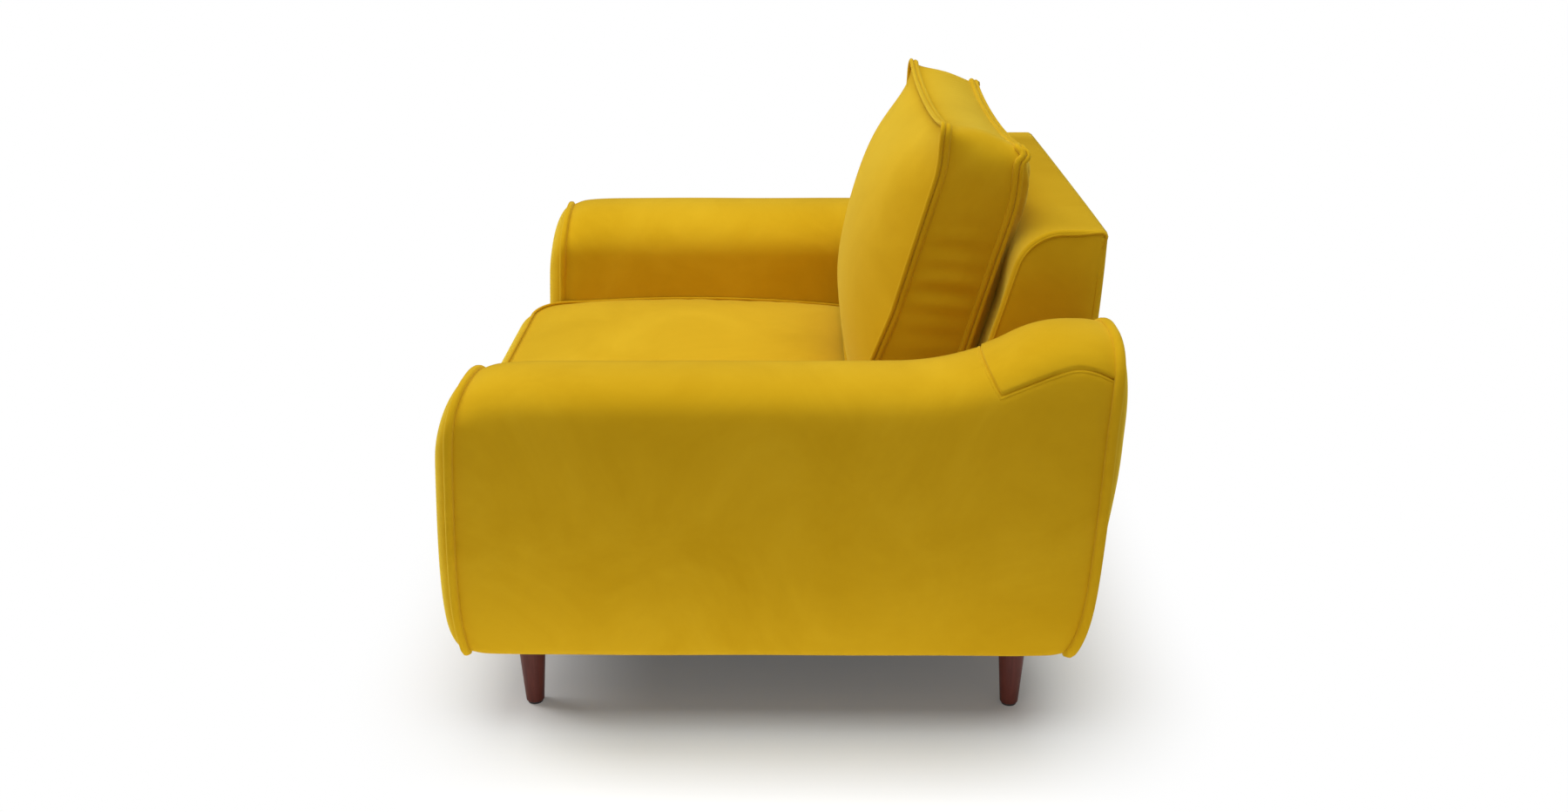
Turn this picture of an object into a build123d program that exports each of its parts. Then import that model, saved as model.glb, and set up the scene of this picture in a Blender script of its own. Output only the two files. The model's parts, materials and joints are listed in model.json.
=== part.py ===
from build123d import *

import os
from math import atan, cos, degrees, radians, sin, sqrt, tan

# An upholstered sofa with one wide seat, two padded arms, loose cushions and four tapered legs.
# Millimetres. +X is to the right seen from the front, the front faces -Y, and Z is up from the
# floor. The origin is on the floor, in the middle of the overall width and depth.

# Overall size
sofa_width = 1290.0
sofa_depth = 1019.0
leg_height = 139.0

# Clearances
gap = 0.3
cushion_gap = 0.8
hole_clearance = 0.4
trim_overrun = 60.0
straight_sag = 0.001

# Fabric skins
cover_thickness = 2.5
dust_cover_thickness = 1.5

# Arms
arm_width = 246.0
arm_height = 557.0
arm_edge_radius = 80.0
arm_front_setback = 54.0
arm_front_bow_height = 340.0
arm_front_bottom_tuck = 27.0
arm_front_top_tuck = 30.0
arm_rear_setback = 17.0
arm_rear_bow_height = 460.0
arm_rear_bottom_tuck = 59.0
arm_rear_top_tuck = 12.0
arm_rise = 61.0
arm_rise_setback = 329.5
arm_rise_dip = 170.0
arm_rise_crest = 80.0
panel_bulge = 13.0
arm_welt_width = 13.0
arm_welt_proud = 6.0
arm_welt_depth = 6.0
arm_side_foam = 20.0
arm_top_foam = 52.0
arm_end_foam = 14.0
arm_board_thickness = 12.0
arm_post_depth = 22.0
arm_rail_thickness = 20.0

# Sewn patch over the raised rear end of each arm
patch_top_setback = 217.5
patch_corner_setback = 179.5
patch_corner_drop = 17.0
patch_seam_peak_setback = 63.5
patch_seam_peak_rise = 15.0
patch_seam_end_drop = 10.0

# Legs and what fastens them
leg_inset = 96.0
leg_front_setback = 144.0
leg_rear_setback = 133.0
leg_top_diameter = 47.0
leg_foot_diameter = 28.0
leg_edge_radius = 1.5
glide_thickness = 4.0
glide_diameter = 23.0
leg_block_size = 70.0
leg_block_height = 40.0
bolt_diameter = 8.0
leg_bolt_depth = 30.0
leg_bolt_stub = 4.0
t_nut_barrel = 10.0
t_nut_length = 11.0
t_nut_flange = 22.0
t_nut_flange_thickness = 1.5

# Seat frame, springs and deck
rail_thickness = 22.0
rail_height = 64.0
border_setback = 70.0
border_foam_thickness = 10.0
border_edge_radius = 12.0
border_lap = 58.0
spring_rail_setback = 16.0
centre_rail_height = 45.0
corner_block_leg = 60.0
corner_block_height = 40.0
arm_bolt_pitch = 220.0
arm_bolt_rail_gap = 29.0
arm_bolt_count = 3
arm_bolt_head_diameter = 16.0
arm_bolt_head_height = 5.0
arm_bolt_stub = 3.0
spring_spacing = 124.0
spring_edge_gap = 30.0
spring_width = 68.0
spring_pitch = 48.0
spring_wire = 3.8
spring_bend_share = 0.45
clip_width = 16.0
clip_depth = 10.0
clip_height = 9.0
deck_thickness = 10.0

# Back
back_top = 719.0
back_rake = 16.0
back_foot_depth = 271.0
back_front_radius = 72.0
back_rear_bottom_tuck = 67.0
back_rear_bow_height = 520.0
back_rear_bow_tuck = 9.5
back_foam_thickness = 50.0
back_board_thickness = 2.0
back_post_depth = 42.0
back_post_width = 28.0
back_rail_depth = 22.0
back_rail_height = 60.0
back_welt_width = 5.0
back_welt_proud = 3.0
strap_count = 5
strap_width = 50.0
strap_spacing = 130.0
strap_thickness = 2.0

# Seat cushion
seat_side_gap = 4.0
seat_rear_gap = 8.0
seat_boxing = 145.0
seat_crown = 28.0
seat_front_bulge = 22.0
seat_corner_radius = 85.0
seat_rear_corner_radius = 25.0
crown_step = 4.0
crown_overrun = 12.0
cushion_welt_proud = 3.0
cushion_welt_width = 7.0

# Back cushion
pillow_end_gap = 54.0
pillow_low = 132.0
pillow_top = 620.0
pillow_boxing = 124.0
pillow_front_crown = 60.0
pillow_rear_crown = 11.0
pillow_corner_radius = 30.0
pillow_welt_low = 165.0

# Zip fasteners in the cushion covers
zip_length = 520.0
zip_width = 6.0
zip_gap = 1.0
pillow_zip_rise = 38.0
zip_slider_length = 12.0
zip_slider_width = 9.0
zip_slider_height = 4.0
zip_pull_length = 26.0
zip_pull_width = 5.0
zip_pull_thickness = 1.2

# Places worked out from the sizes above
half_width = sofa_width / 2
front_y = -sofa_depth / 2
rear_y = sofa_depth / 2
arm_inner_x = half_width - arm_width
arm_rise_start = rear_y - arm_rise_setback
frame_bottom = leg_height + dust_cover_thickness + gap
rail_top = frame_bottom + rail_height
spring_height = rail_top + clip_height / 2
deck_bottom = rail_top + clip_height + gap
deck_top = deck_bottom + deck_thickness
rake = radians(back_rake)
back_front_base = rear_y - back_foot_depth
spring_rail_front = back_front_base + spring_rail_setback
leg_x = half_width - leg_inset
leg_front_y = front_y + leg_front_setback
leg_rear_y = rear_y - leg_rear_setback
leg_spots = {
    "front_right": (leg_x, leg_front_y),
    "front_left": (-leg_x, leg_front_y),
    "rear_right": (leg_x, leg_rear_y),
    "rear_left": (-leg_x, leg_rear_y),
}
leg_block_top = frame_bottom + leg_block_height

os.makedirs("parts", exist_ok=True)


def write_piece(piece, name):
    """Label one finished piece and write it to its own file."""
    piece.label = name
    export_step(piece, f"parts/{name}.step")


def write_pair(right_piece, stem):
    """Write a piece of the right side and its mirror image on the left."""
    with BuildPart() as left:
        mirror(right_piece, about=Plane.YZ)
    write_piece(right_piece, f"{stem}_right")
    write_piece(left.part, f"{stem}_left")


def write_both(right_piece, name):
    """Write pieces of the right side and their mirror images on the left as one group."""
    with BuildPart() as both:
        add(right_piece)
        mirror(about=Plane.YZ)
    write_piece(both.part, name)


def bow(low, middle, high):
    """The side-view curve through three (y, z) points, given back as y for a height z."""
    (y1, z1), (y2, z2), (y3, z3) = low, middle, high
    turn = 2 * (y1 * (z2 - z3) + y2 * (z3 - z1) + y3 * (z1 - z2))
    s1, s2, s3 = y1**2 + z1**2, y2**2 + z2**2, y3**2 + z3**2
    centre_y = (s1 * (z2 - z3) + s2 * (z3 - z1) + s3 * (z1 - z2)) / turn
    centre_z = (s1 * (y3 - y2) + s2 * (y1 - y3) + s3 * (y2 - y1)) / turn
    radius = sqrt((y2 - centre_y) ** 2 + (z2 - centre_z) ** 2)
    side = 1 if y2 > centre_y else -1
    return lambda z: centre_y + side * sqrt(radius**2 - (z - centre_z) ** 2)


def shifted(curve, step):
    """A side-view curve moved along Y."""
    return lambda z: curve(z) + step


def side_edge(curve, start, end):
    """One side-view curve between two heights: an arc, or a line where the curve is straight."""
    middle = (start + end) / 2
    sag = curve(middle) - (curve(start) + curve(end)) / 2
    if abs(sag) < straight_sag:
        Line((curve(start), start), (curve(end), end))
    else:
        ThreePointArc((curve(start), start), (curve(middle), middle), (curve(end), end))


def side_band(front, rear, low, high):
    """The side-view area between two curves, from one height to another."""
    with BuildSketch() as band:
        with BuildLine():
            side_edge(front, low, high)
            Line((front(high), high), (rear(high), high))
            side_edge(rear, high, low)
            Line((rear(low), low), (front(low), low))
        make_face()
    return band.sketch


def across(profile, low_x, high_x):
    """A side-view area carried across the sofa from one X to another."""
    with BuildPart() as slab:
        with BuildSketch(Plane.YZ.offset(low_x)):
            add(profile)
        extrude(amount=high_x - low_x)
    return slab.part


# Side-view curves of the arms: their front and rear seams, and the padded panels beyond the seams
arm_front = bow(
    (front_y + arm_front_setback + arm_front_bottom_tuck, leg_height),
    (front_y + arm_front_setback, arm_front_bow_height),
    (front_y + arm_front_setback + arm_front_top_tuck, arm_height),
)
arm_front_bulge = bow(
    (front_y + arm_front_setback + arm_front_bottom_tuck, leg_height),
    (front_y + arm_front_setback - panel_bulge, arm_front_bow_height),
    (front_y + arm_front_setback + arm_front_top_tuck, arm_height),
)
arm_rear = bow(
    (rear_y - arm_rear_setback - arm_rear_bottom_tuck, leg_height),
    (rear_y - arm_rear_setback, arm_rear_bow_height),
    (rear_y - arm_rear_setback - arm_rear_top_tuck, arm_height + arm_rise),
)
arm_rear_bulge = bow(
    (rear_y - arm_rear_setback - arm_rear_bottom_tuck, leg_height),
    (rear_y - arm_rear_setback + panel_bulge, arm_rear_bow_height),
    (rear_y - arm_rear_setback - arm_rear_top_tuck, arm_height + arm_rise),
)
arm_ceiling = arm_height + arm_rise + trim_overrun


def arm_top_profile(inset):
    """The area under an arm's top line, run on past the arm's ends and foot, drawn in by an inset."""
    rise_run = arm_rise_dip + arm_rise_crest
    bend = 2 * atan(arm_rise / rise_run)
    dip_radius = arm_rise_dip / sin(bend)
    crest_radius = arm_rise_crest / sin(bend)
    with BuildSketch() as profile:
        with BuildLine():
            level = Line((front_y - trim_overrun, arm_height), (arm_rise_start, arm_height))
            dip = JernArc(level @ 1, level % 1, dip_radius, degrees(bend))
            crest = JernArc(dip @ 1, dip % 1, crest_radius, -degrees(bend))
            back = Line(crest @ 1, (rear_y + trim_overrun, arm_height + arm_rise))
            foot = Line(back @ 1, (rear_y + trim_overrun, -trim_overrun))
            floor = Line(foot @ 1, (front_y - trim_overrun, -trim_overrun))
            Line(floor @ 1, level @ 0)
        make_face()
        if inset:
            offset(amount=-inset, kind=Kind.INTERSECTION)
    return profile.sketch


def arm_tunnel(inset):
    """The right arm's rounded outside, run on past its ends, drawn in by an inset all round."""
    profile = arm_top_profile(inset)
    with BuildPart() as tunnel:
        with BuildSketch(Plane.YZ.offset(arm_inner_x + inset)):
            add(profile)
        extrude(amount=arm_width - 2 * inset)
        long_edges = tunnel.edges().filter_by(lambda edge: edge.center().Z > arm_height - inset - gap)
        top_edges = long_edges.filter_by(lambda edge: abs(edge.tangent_at(0.5).X) < 0.5)
        fillet(top_edges, radius=arm_edge_radius - inset)
    return tunnel.part


arm_outside = arm_tunnel(0)
arm_lining = arm_tunnel(cover_thickness)
arm_padding = arm_tunnel(cover_thickness + gap)
arm_welt_outside = arm_tunnel(-arm_welt_proud)
arm_welt_inside = arm_tunnel(arm_welt_depth)
arm_panel_outline = arm_tunnel(arm_welt_depth + gap)

half_welt = arm_welt_width / 2
arm_front_edge = shifted(arm_front, half_welt + gap)
arm_rear_edge = shifted(arm_rear, -half_welt - gap)
arm_low_x = arm_inner_x - trim_overrun
arm_high_x = half_width + trim_overrun
arm_span = across(side_band(arm_front_edge, arm_rear_edge, frame_bottom, arm_ceiling), arm_low_x, arm_high_x)

# Bolts that hold each arm to the seat frame: places on the side rail, seen from the side
arm_bolt_height = frame_bottom + rail_height / 2
arm_bolt_last_y = spring_rail_front - arm_bolt_rail_gap
arm_bolt_spots = [
    (arm_bolt_last_y - arm_bolt_pitch * place, arm_bolt_height)
    for place in reversed(range(arm_bolt_count))
]


def bolt_rods(diameter, low_x, high_x):
    """Round rods along X at the places of the right arm's bolts."""
    with BuildPart() as rods:
        with BuildSketch(Plane.YZ.offset(low_x)):
            with Locations(*arm_bolt_spots):
                Circle(diameter / 2)
        extrude(amount=high_x - low_x)
    return rods.part


arm_bolt_path = bolt_rods(bolt_diameter + 2 * hole_clearance, 0, half_width - arm_width / 2)

# Sewn patch: the area behind its front seam and above its lower seam
patch_top_y = rear_y - patch_top_setback
patch_corner_y = rear_y - patch_corner_setback
patch_corner_height = arm_height - patch_corner_drop
patch_seam_peak_y = rear_y - patch_seam_peak_setback
patch_seam_peak_height = arm_height + patch_seam_peak_rise
with BuildSketch() as patch_area:
    with BuildLine():
        patch_seam = ThreePointArc(
            (patch_corner_y, patch_corner_height),
            (patch_seam_peak_y, patch_seam_peak_height),
            (rear_y + trim_overrun, patch_seam_peak_height - patch_seam_end_drop),
        )
        patch_rear = Line(patch_seam @ 1, (rear_y + trim_overrun, arm_ceiling))
        patch_rim = Line(patch_rear @ 1, (patch_top_y, arm_ceiling))
        patch_front = Line(patch_rim @ 1, (patch_top_y, arm_height + arm_rise))
        Line(patch_front @ 1, patch_seam @ 0)
    make_face()
with BuildSketch() as patch_opening:
    add(patch_area.sketch)
    offset(amount=gap, kind=Kind.INTERSECTION)
patch_slab = across(patch_area.sketch, arm_low_x, arm_high_x)
patch_opening_slab = across(patch_opening.sketch, arm_low_x, arm_high_x)

# Arm covers, open in front, behind and below
with BuildPart() as arm_cover:
    add(arm_outside)
    add(arm_lining, mode=Mode.SUBTRACT)
    add(arm_span, mode=Mode.INTERSECT)
    add(patch_opening_slab, mode=Mode.SUBTRACT)
    add(arm_bolt_path, mode=Mode.SUBTRACT)
write_pair(arm_cover.part, "arm_cover")

with BuildPart() as arm_patch:
    add(arm_outside)
    add(arm_lining, mode=Mode.SUBTRACT)
    add(arm_span, mode=Mode.INTERSECT)
    add(patch_slab, mode=Mode.INTERSECT)
write_pair(arm_patch.part, "arm_top_patch")

# Welts round the front and rear ends of the arms, level with the arm where the seat and back meet it
for end, curve in (("front", arm_front), ("rear", arm_rear)):
    welt_band = side_band(shifted(curve, -half_welt), shifted(curve, half_welt), frame_bottom, arm_ceiling)
    welt_slab = across(welt_band, arm_inner_x, arm_high_x)
    with BuildPart() as arm_welt:
        add(arm_welt_outside)
        add(arm_welt_inside, mode=Mode.SUBTRACT)
        add(welt_slab, mode=Mode.INTERSECT)
    write_pair(arm_welt.part, f"arm_{end}_welt")

# Padded end panels inside the welts
front_panel_band = side_band(arm_front_bulge, shifted(arm_front, half_welt), frame_bottom, arm_height)
rear_panel_top = arm_height + arm_rise
rear_panel_band = side_band(shifted(arm_rear, -half_welt), arm_rear_bulge, frame_bottom, rear_panel_top)
for end, band in (("front", front_panel_band), ("rear", rear_panel_band)):
    panel_slab = across(band, arm_low_x, arm_high_x)
    with BuildPart() as arm_panel:
        add(arm_panel_outline)
        add(panel_slab, mode=Mode.INTERSECT)
    write_pair(arm_panel.part, f"arm_{end}_panel")

# Arm frame: two boards cut to the arm's outline, with posts and a rail between them
arm_side_pad = cover_thickness + gap + arm_side_foam + gap
arm_top_pad = cover_thickness + gap + arm_top_foam + gap
board_front = shifted(arm_front, half_welt + arm_end_foam)
board_rear = shifted(arm_rear, -half_welt - arm_end_foam)
with BuildSketch() as board_outline:
    add(arm_top_profile(arm_top_pad))
    add(side_band(board_front, board_rear, frame_bottom, arm_ceiling), mode=Mode.INTERSECT)
with BuildSketch() as board_hollow:
    add(arm_top_profile(arm_top_pad - gap))
    add(
        side_band(shifted(board_front, -gap), shifted(board_rear, gap), -trim_overrun, arm_ceiling),
        mode=Mode.INTERSECT,
    )
inner_board_x = arm_inner_x + arm_side_pad
outer_board_x = half_width - arm_side_pad - arm_board_thickness
arm_hollow = across(board_hollow.sketch, inner_board_x - gap, outer_board_x + arm_board_thickness + gap)
inner_board_blank = across(board_outline.sketch, inner_board_x, inner_board_x + arm_board_thickness)
outer_board_blank = across(board_outline.sketch, outer_board_x, outer_board_x + arm_board_thickness)
t_nut_path = bolt_rods(t_nut_barrel + 2 * gap, inner_board_x - gap, inner_board_x + arm_board_thickness + gap)

with BuildPart() as arm_inner_board:
    add(inner_board_blank)
    add(t_nut_path, mode=Mode.SUBTRACT)
write_both(arm_inner_board.part, "arm_inner_boards")
write_both(outer_board_blank, "arm_outer_boards")

with BuildPart() as arm_foam:
    add(arm_padding)
    add(arm_span, mode=Mode.INTERSECT)
    add(arm_hollow, mode=Mode.SUBTRACT)
    add(arm_bolt_path, mode=Mode.SUBTRACT)
write_pair(arm_foam.part, "arm_foam")

between_low_x = inner_board_x + arm_board_thickness + gap
between_high_x = outer_board_x - gap
between_width = between_high_x - between_low_x
between_x = (between_low_x + between_high_x) / 2
arm_rail_top = arm_height - arm_top_pad
arm_rail_bottom = arm_rail_top - arm_rail_thickness
post_low = leg_block_top + gap
post_high = arm_rail_bottom - gap
front_post_y = leg_front_y - leg_block_size / 2 + arm_post_depth / 2
rear_post_y = leg_rear_y + leg_block_size / 2 - arm_post_depth / 2
with BuildPart() as arm_posts:
    with BuildSketch(Plane.XY.offset(post_low)):
        with Locations((between_x, front_post_y), (between_x, rear_post_y)):
            Rectangle(between_width, arm_post_depth)
    extrude(amount=post_high - post_low)
write_both(arm_posts.part, "arm_posts")

with BuildPart() as arm_rail:
    with BuildSketch(Plane.XY.offset(arm_rail_bottom)):
        with Locations((between_x, (front_post_y + rear_post_y) / 2)):
            Rectangle(between_width, rear_post_y - front_post_y + arm_post_depth)
    extrude(amount=arm_rail_thickness)
write_both(arm_rail.part, "arm_top_rails")

# Legs: turned, tapered, each with a hole for its hanger bolt
with BuildPart() as leg_blank:
    with BuildSketch(Plane.XZ):
        with BuildLine():
            Polyline(
                (0, glide_thickness),
                (leg_foot_diameter / 2, glide_thickness),
                (leg_top_diameter / 2, frame_bottom),
                (0, frame_bottom),
                close=True,
            )
        make_face()
    revolve(axis=Axis.Z)
    foot_rim = leg_blank.edges().filter_by(GeomType.CIRCLE).sort_by(Axis.Z)[0]
    fillet(foot_rim, radius=leg_edge_radius)
    with Locations((0, 0, frame_bottom)):
        Hole(bolt_diameter / 2 + hole_clearance, depth=leg_bolt_depth)
for spot, (x, y) in leg_spots.items():
    with BuildPart() as leg:
        with Locations((x, y)):
            add(leg_blank.part)
    write_piece(leg.part, f"leg_{spot}")

with BuildPart() as leg_glides:
    with Locations(*leg_spots.values()):
        Cylinder(glide_diameter / 2, glide_thickness, align=(Align.CENTER, Align.CENTER, Align.MIN))
write_piece(leg_glides.part, "leg_glides")

with BuildPart() as leg_bolts:
    with BuildSketch(Plane.XY.offset(frame_bottom - leg_bolt_depth + hole_clearance)):
        with Locations(*leg_spots.values()):
            Circle(bolt_diameter / 2)
    extrude(amount=leg_bolt_depth + leg_block_height + leg_bolt_stub)
write_piece(leg_bolts.part, "leg_bolts")

with BuildPart() as leg_blocks:
    with BuildSketch(Plane.XY.offset(frame_bottom)):
        for side in (1, -1):
            for y in (leg_front_y, leg_rear_y):
                with Locations((side * between_x, y)):
                    Rectangle(between_width, leg_block_size)
        with Locations(*leg_spots.values()):
            Circle(t_nut_barrel / 2 + gap, mode=Mode.SUBTRACT)
    extrude(amount=leg_block_height)
write_piece(leg_blocks.part, "leg_blocks")

# Threaded inserts: four above the leg blocks and three in each arm's inner board
insert_bore = bolt_diameter / 2 + hole_clearance
with BuildPart() as t_nut:
    Cylinder(t_nut_barrel / 2, t_nut_length, align=(Align.CENTER, Align.CENTER, Align.MAX))
    Cylinder(t_nut_flange / 2, t_nut_flange_thickness, align=(Align.CENTER, Align.CENTER, Align.MIN))
    Hole(insert_bore)
board_nut_x = inner_board_x + arm_board_thickness
with BuildPart() as t_nuts:
    with Locations((leg_x, leg_front_y, leg_block_top), (leg_x, leg_rear_y, leg_block_top)):
        add(t_nut.part)
    with Locations(*[Plane((board_nut_x, y, z), z_dir=(1, 0, 0)) for y, z in arm_bolt_spots]):
        add(t_nut.part)
write_both(t_nuts.part, "t_nuts")

# Seat frame between the arms
frame_half = arm_inner_x - gap
side_rail_inner_x = frame_half - rail_thickness
border_y = front_y + border_setback
front_rail_front = border_y + cover_thickness + gap + border_foam_thickness + gap
front_rail_rear = front_rail_front + rail_thickness
back_rear = bow(
    (rear_y - back_rear_bottom_tuck, leg_height),
    (rear_y - back_rear_bow_tuck, back_rear_bow_height),
    (rear_y, back_top),
)
back_inside = shifted(back_rear, -cover_thickness - gap - back_board_thickness - gap)
rear_rail_rear = back_inside(frame_bottom)
rear_rail_front = rear_rail_rear - rail_thickness


def rail(low_x, high_x, low_y, high_y, height):
    """A straight rail standing on the bottom of the frame."""
    with BuildPart() as board:
        with BuildSketch(Plane.XY.offset(frame_bottom)):
            with Locations(((low_x + high_x) / 2, (low_y + high_y) / 2)):
                Rectangle(high_x - low_x, high_y - low_y)
        extrude(amount=height)
    return board.part


front_rail = rail(-frame_half, frame_half, front_rail_front, front_rail_rear, rail_height)
write_piece(front_rail, "front_rail")
rear_rail = rail(-frame_half, frame_half, rear_rail_front, rear_rail_rear, rail_height)
write_piece(rear_rail, "rear_rail")
cross_half = side_rail_inner_x - gap
spring_rail_rear = spring_rail_front + rail_thickness
spring_rail = rail(-cross_half, cross_half, spring_rail_front, spring_rail_rear, rail_height)
write_piece(spring_rail, "spring_rail")
centre_half = rail_thickness / 2
centre_rail = rail(
    -centre_half, centre_half, front_rail_rear + gap, spring_rail_front - gap, centre_rail_height
)
write_piece(centre_rail, "centre_rail")

side_rail_front = front_rail_rear + gap
side_rail_rear = rear_rail_front - gap
side_rail_blank = rail(side_rail_inner_x, frame_half, side_rail_front, side_rail_rear, rail_height)
with BuildPart() as side_rail:
    add(side_rail_blank)
    add(arm_bolt_path, mode=Mode.SUBTRACT)
write_both(side_rail.part, "side_rails")

corner_x = cross_half
with BuildPart() as corner_blocks:
    with BuildSketch(Plane.XY.offset(frame_bottom)):
        for side in (1, -1):
            for corner_y, inward in ((front_rail_rear + gap, 1), (rear_rail_front - gap, -1)):
                with BuildLine():
                    Polyline(
                        (side * corner_x, corner_y),
                        (side * (corner_x - corner_block_leg), corner_y),
                        (side * corner_x, corner_y + inward * corner_block_leg),
                        close=True,
                    )
                make_face()
    extrude(amount=corner_block_height)
write_piece(corner_blocks.part, "corner_blocks")

arm_bolt_shanks = bolt_rods(bolt_diameter, side_rail_inner_x, board_nut_x + arm_bolt_stub)
arm_bolt_head_x = side_rail_inner_x - arm_bolt_head_height
arm_bolt_heads = bolt_rods(arm_bolt_head_diameter, arm_bolt_head_x, side_rail_inner_x)
with BuildPart() as arm_bolts:
    add(arm_bolt_shanks)
    add(arm_bolt_heads)
write_both(arm_bolts.part, "arm_bolts")

# Zigzag springs from the front rail to the spring rail, held in clips
spring_front_y = (front_rail_front + front_rail_rear) / 2
spring_rear_y = (spring_rail_front + spring_rail_rear) / 2
spring_bars = round((spring_rear_y - spring_front_y) / spring_pitch)
bar_step = (spring_rear_y - spring_front_y) / spring_bars
spring_points = []
for bar in range(spring_bars + 1):
    bar_y = spring_front_y + bar * bar_step
    bar_side = 1 if bar % 2 else -1
    spring_points.append((bar_side * spring_width / 2, bar_y, spring_height))
    spring_points.append((-bar_side * spring_width / 2, bar_y, spring_height))
spring_room = 2 * (side_rail_inner_x - spring_edge_gap) - spring_width
spring_count = int(spring_room / spring_spacing) + 1
spring_xs = [spring_spacing * (place - (spring_count - 1) / 2) for place in range(spring_count)]
with BuildPart() as spring:
    with BuildLine():
        spring_path = FilletPolyline(*spring_points, radius=spring_bend_share * bar_step)
    with BuildSketch(Plane(spring_path @ 0, z_dir=spring_path % 0)):
        Circle(spring_wire / 2)
    sweep()
with BuildPart() as seat_springs:
    with Locations(*[(x, 0) for x in spring_xs]):
        add(spring.part)
write_piece(seat_springs.part, "seat_springs")

with BuildPart() as spring_clips:
    with Locations(*[(x, y, rail_top) for x in spring_xs for y in (spring_front_y, spring_rear_y)]):
        Box(clip_width, clip_depth, clip_height, align=(Align.CENTER, Align.CENTER, Align.MIN))
    with BuildSketch(Plane.YZ.offset(-arm_inner_x)):
        with Locations((spring_front_y, spring_height), (spring_rear_y, spring_height)):
            Circle(spring_wire / 2 + gap)
    extrude(amount=2 * arm_inner_x, mode=Mode.SUBTRACT)
write_piece(spring_clips.part, "spring_clips")

# Padded front border under the seat cushion, and the deck over the springs
border_foam_front = border_y + cover_thickness + gap
with BuildPart() as border_foam:
    with BuildSketch(Plane.XY.offset(frame_bottom)):
        with Locations((0, border_foam_front + border_foam_thickness / 2)):
            Rectangle(2 * frame_half, border_foam_thickness)
    extrude(amount=rail_height)
write_piece(border_foam.part, "border_foam")

border_lap_end = border_y + border_lap
with BuildSketch() as border_profile:
    with BuildLine():
        Polyline(
            (border_y, frame_bottom),
            (border_y, deck_top),
            (border_lap_end, deck_top),
            (border_lap_end, deck_top - cover_thickness),
            (border_y + cover_thickness, deck_top - cover_thickness),
            (border_y + cover_thickness, frame_bottom),
            close=True,
        )
    make_face()
    outer_corner = border_profile.vertices().group_by(Axis.Y)[-1].sort_by(Axis.X)[0]
    fillet(outer_corner, radius=border_edge_radius)
    inner_corner = border_profile.vertices().sort_by_distance(
        (border_y + cover_thickness, deck_top - cover_thickness)
    )[0]
    fillet(inner_corner, radius=border_edge_radius - cover_thickness)
border_cover = across(border_profile.sketch, -frame_half, frame_half)
write_piece(border_cover, "border_cover")

# Side-view line of the back's raked front
def back_face(z):
    return back_front_base + (z - deck_top) * tan(rake)


deck_front = border_lap_end + gap
deck_rear = back_face(deck_bottom) - cushion_gap
with BuildPart() as seat_deck:
    with BuildSketch(Plane.XY.offset(deck_bottom)):
        with Locations((0, (deck_front + deck_rear) / 2)):
            Rectangle(2 * frame_half, deck_rear - deck_front)
    extrude(amount=deck_thickness)
write_piece(seat_deck.part, "seat_deck")

dust_cover_front = border_y + arm_end_foam
dust_cover_rear = rear_rail_rear
with BuildPart() as dust_cover:
    with BuildSketch(Plane.XY.offset(leg_height)):
        with Locations((0, (dust_cover_front + dust_cover_rear) / 2)):
            Rectangle(2 * (half_width - arm_side_pad), dust_cover_rear - dust_cover_front)
        with Locations(*leg_spots.values()):
            Circle(leg_top_diameter / 2 + gap, mode=Mode.SUBTRACT)
    extrude(amount=dust_cover_thickness)
write_piece(dust_cover.part, "dust_cover")


def back_area(inset):
    """The side-view area behind the back's front and under its top, drawn in by an inset."""
    reach = back_top + trim_overrun
    with BuildSketch() as area:
        with BuildLine():
            Polyline(
                (back_face(0), 0),
                (back_face(back_top), back_top),
                (rear_y + reach, back_top),
                (rear_y + reach, 0),
                close=True,
            )
        make_face()
        brow = area.vertices().group_by(Axis.Y)[-1].sort_by(Axis.X)[0]
        fillet(brow, radius=back_front_radius)
        if inset:
            offset(amount=-inset, kind=Kind.INTERSECTION)
    return area.sketch


def back_layer(outer_inset, inner_inset, rear, low, low_x, high_x):
    """One layer of the back: between two insets, in front of a rear curve and above a height."""
    wide = shifted(back_face, -trim_overrun)
    with BuildSketch() as layer:
        add(back_area(outer_inset))
        if inner_inset is not None:
            add(back_area(inner_inset), mode=Mode.SUBTRACT)
        add(side_band(wide, rear, low, back_top + trim_overrun), mode=Mode.INTERSECT)
    return across(layer.sketch, low_x, high_x)


# Back upholstery: front and top skin, ends with a welt round them, and the outside back
back_end_x = frame_half - cover_thickness
back_welt_high_x = back_end_x - gap
back_welt_low_x = back_welt_high_x - back_welt_width
back_cover_half = back_welt_low_x - gap
back_skin_rear = shifted(back_rear, -cover_thickness - gap)
back_low = deck_bottom
back_cover = back_layer(0, cover_thickness, back_skin_rear, back_low, -back_cover_half, back_cover_half)
write_piece(back_cover, "back_cover")
back_end_panel = back_layer(0, None, back_skin_rear, back_low, back_end_x, frame_half)
write_pair(back_end_panel, "back_end_panel")
back_welt_right = back_layer(
    -back_welt_proud, cover_thickness, back_skin_rear, deck_top, back_welt_low_x, back_welt_high_x
)
write_both(back_welt_right, "back_welts")
outside_back_front = shifted(back_rear, -cover_thickness)
outside_back_band = side_band(outside_back_front, back_rear, frame_bottom, back_top)
outside_back = across(outside_back_band, -frame_half, frame_half)
write_piece(outside_back, "outside_back")

# Back frame, straps and foam
back_foam_inset = cover_thickness + gap
back_strap_inset = back_foam_inset + back_foam_thickness + gap
back_frame_inset = back_strap_inset + strap_thickness + gap
back_foam = back_layer(
    back_foam_inset, back_strap_inset - gap, back_inside, back_low, -back_cover_half, back_cover_half
)
write_piece(back_foam, "back_foam")
back_post_high_x = back_cover_half
back_post_low_x = back_post_high_x - back_post_width
back_frame_top = back_top - back_frame_inset


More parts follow.
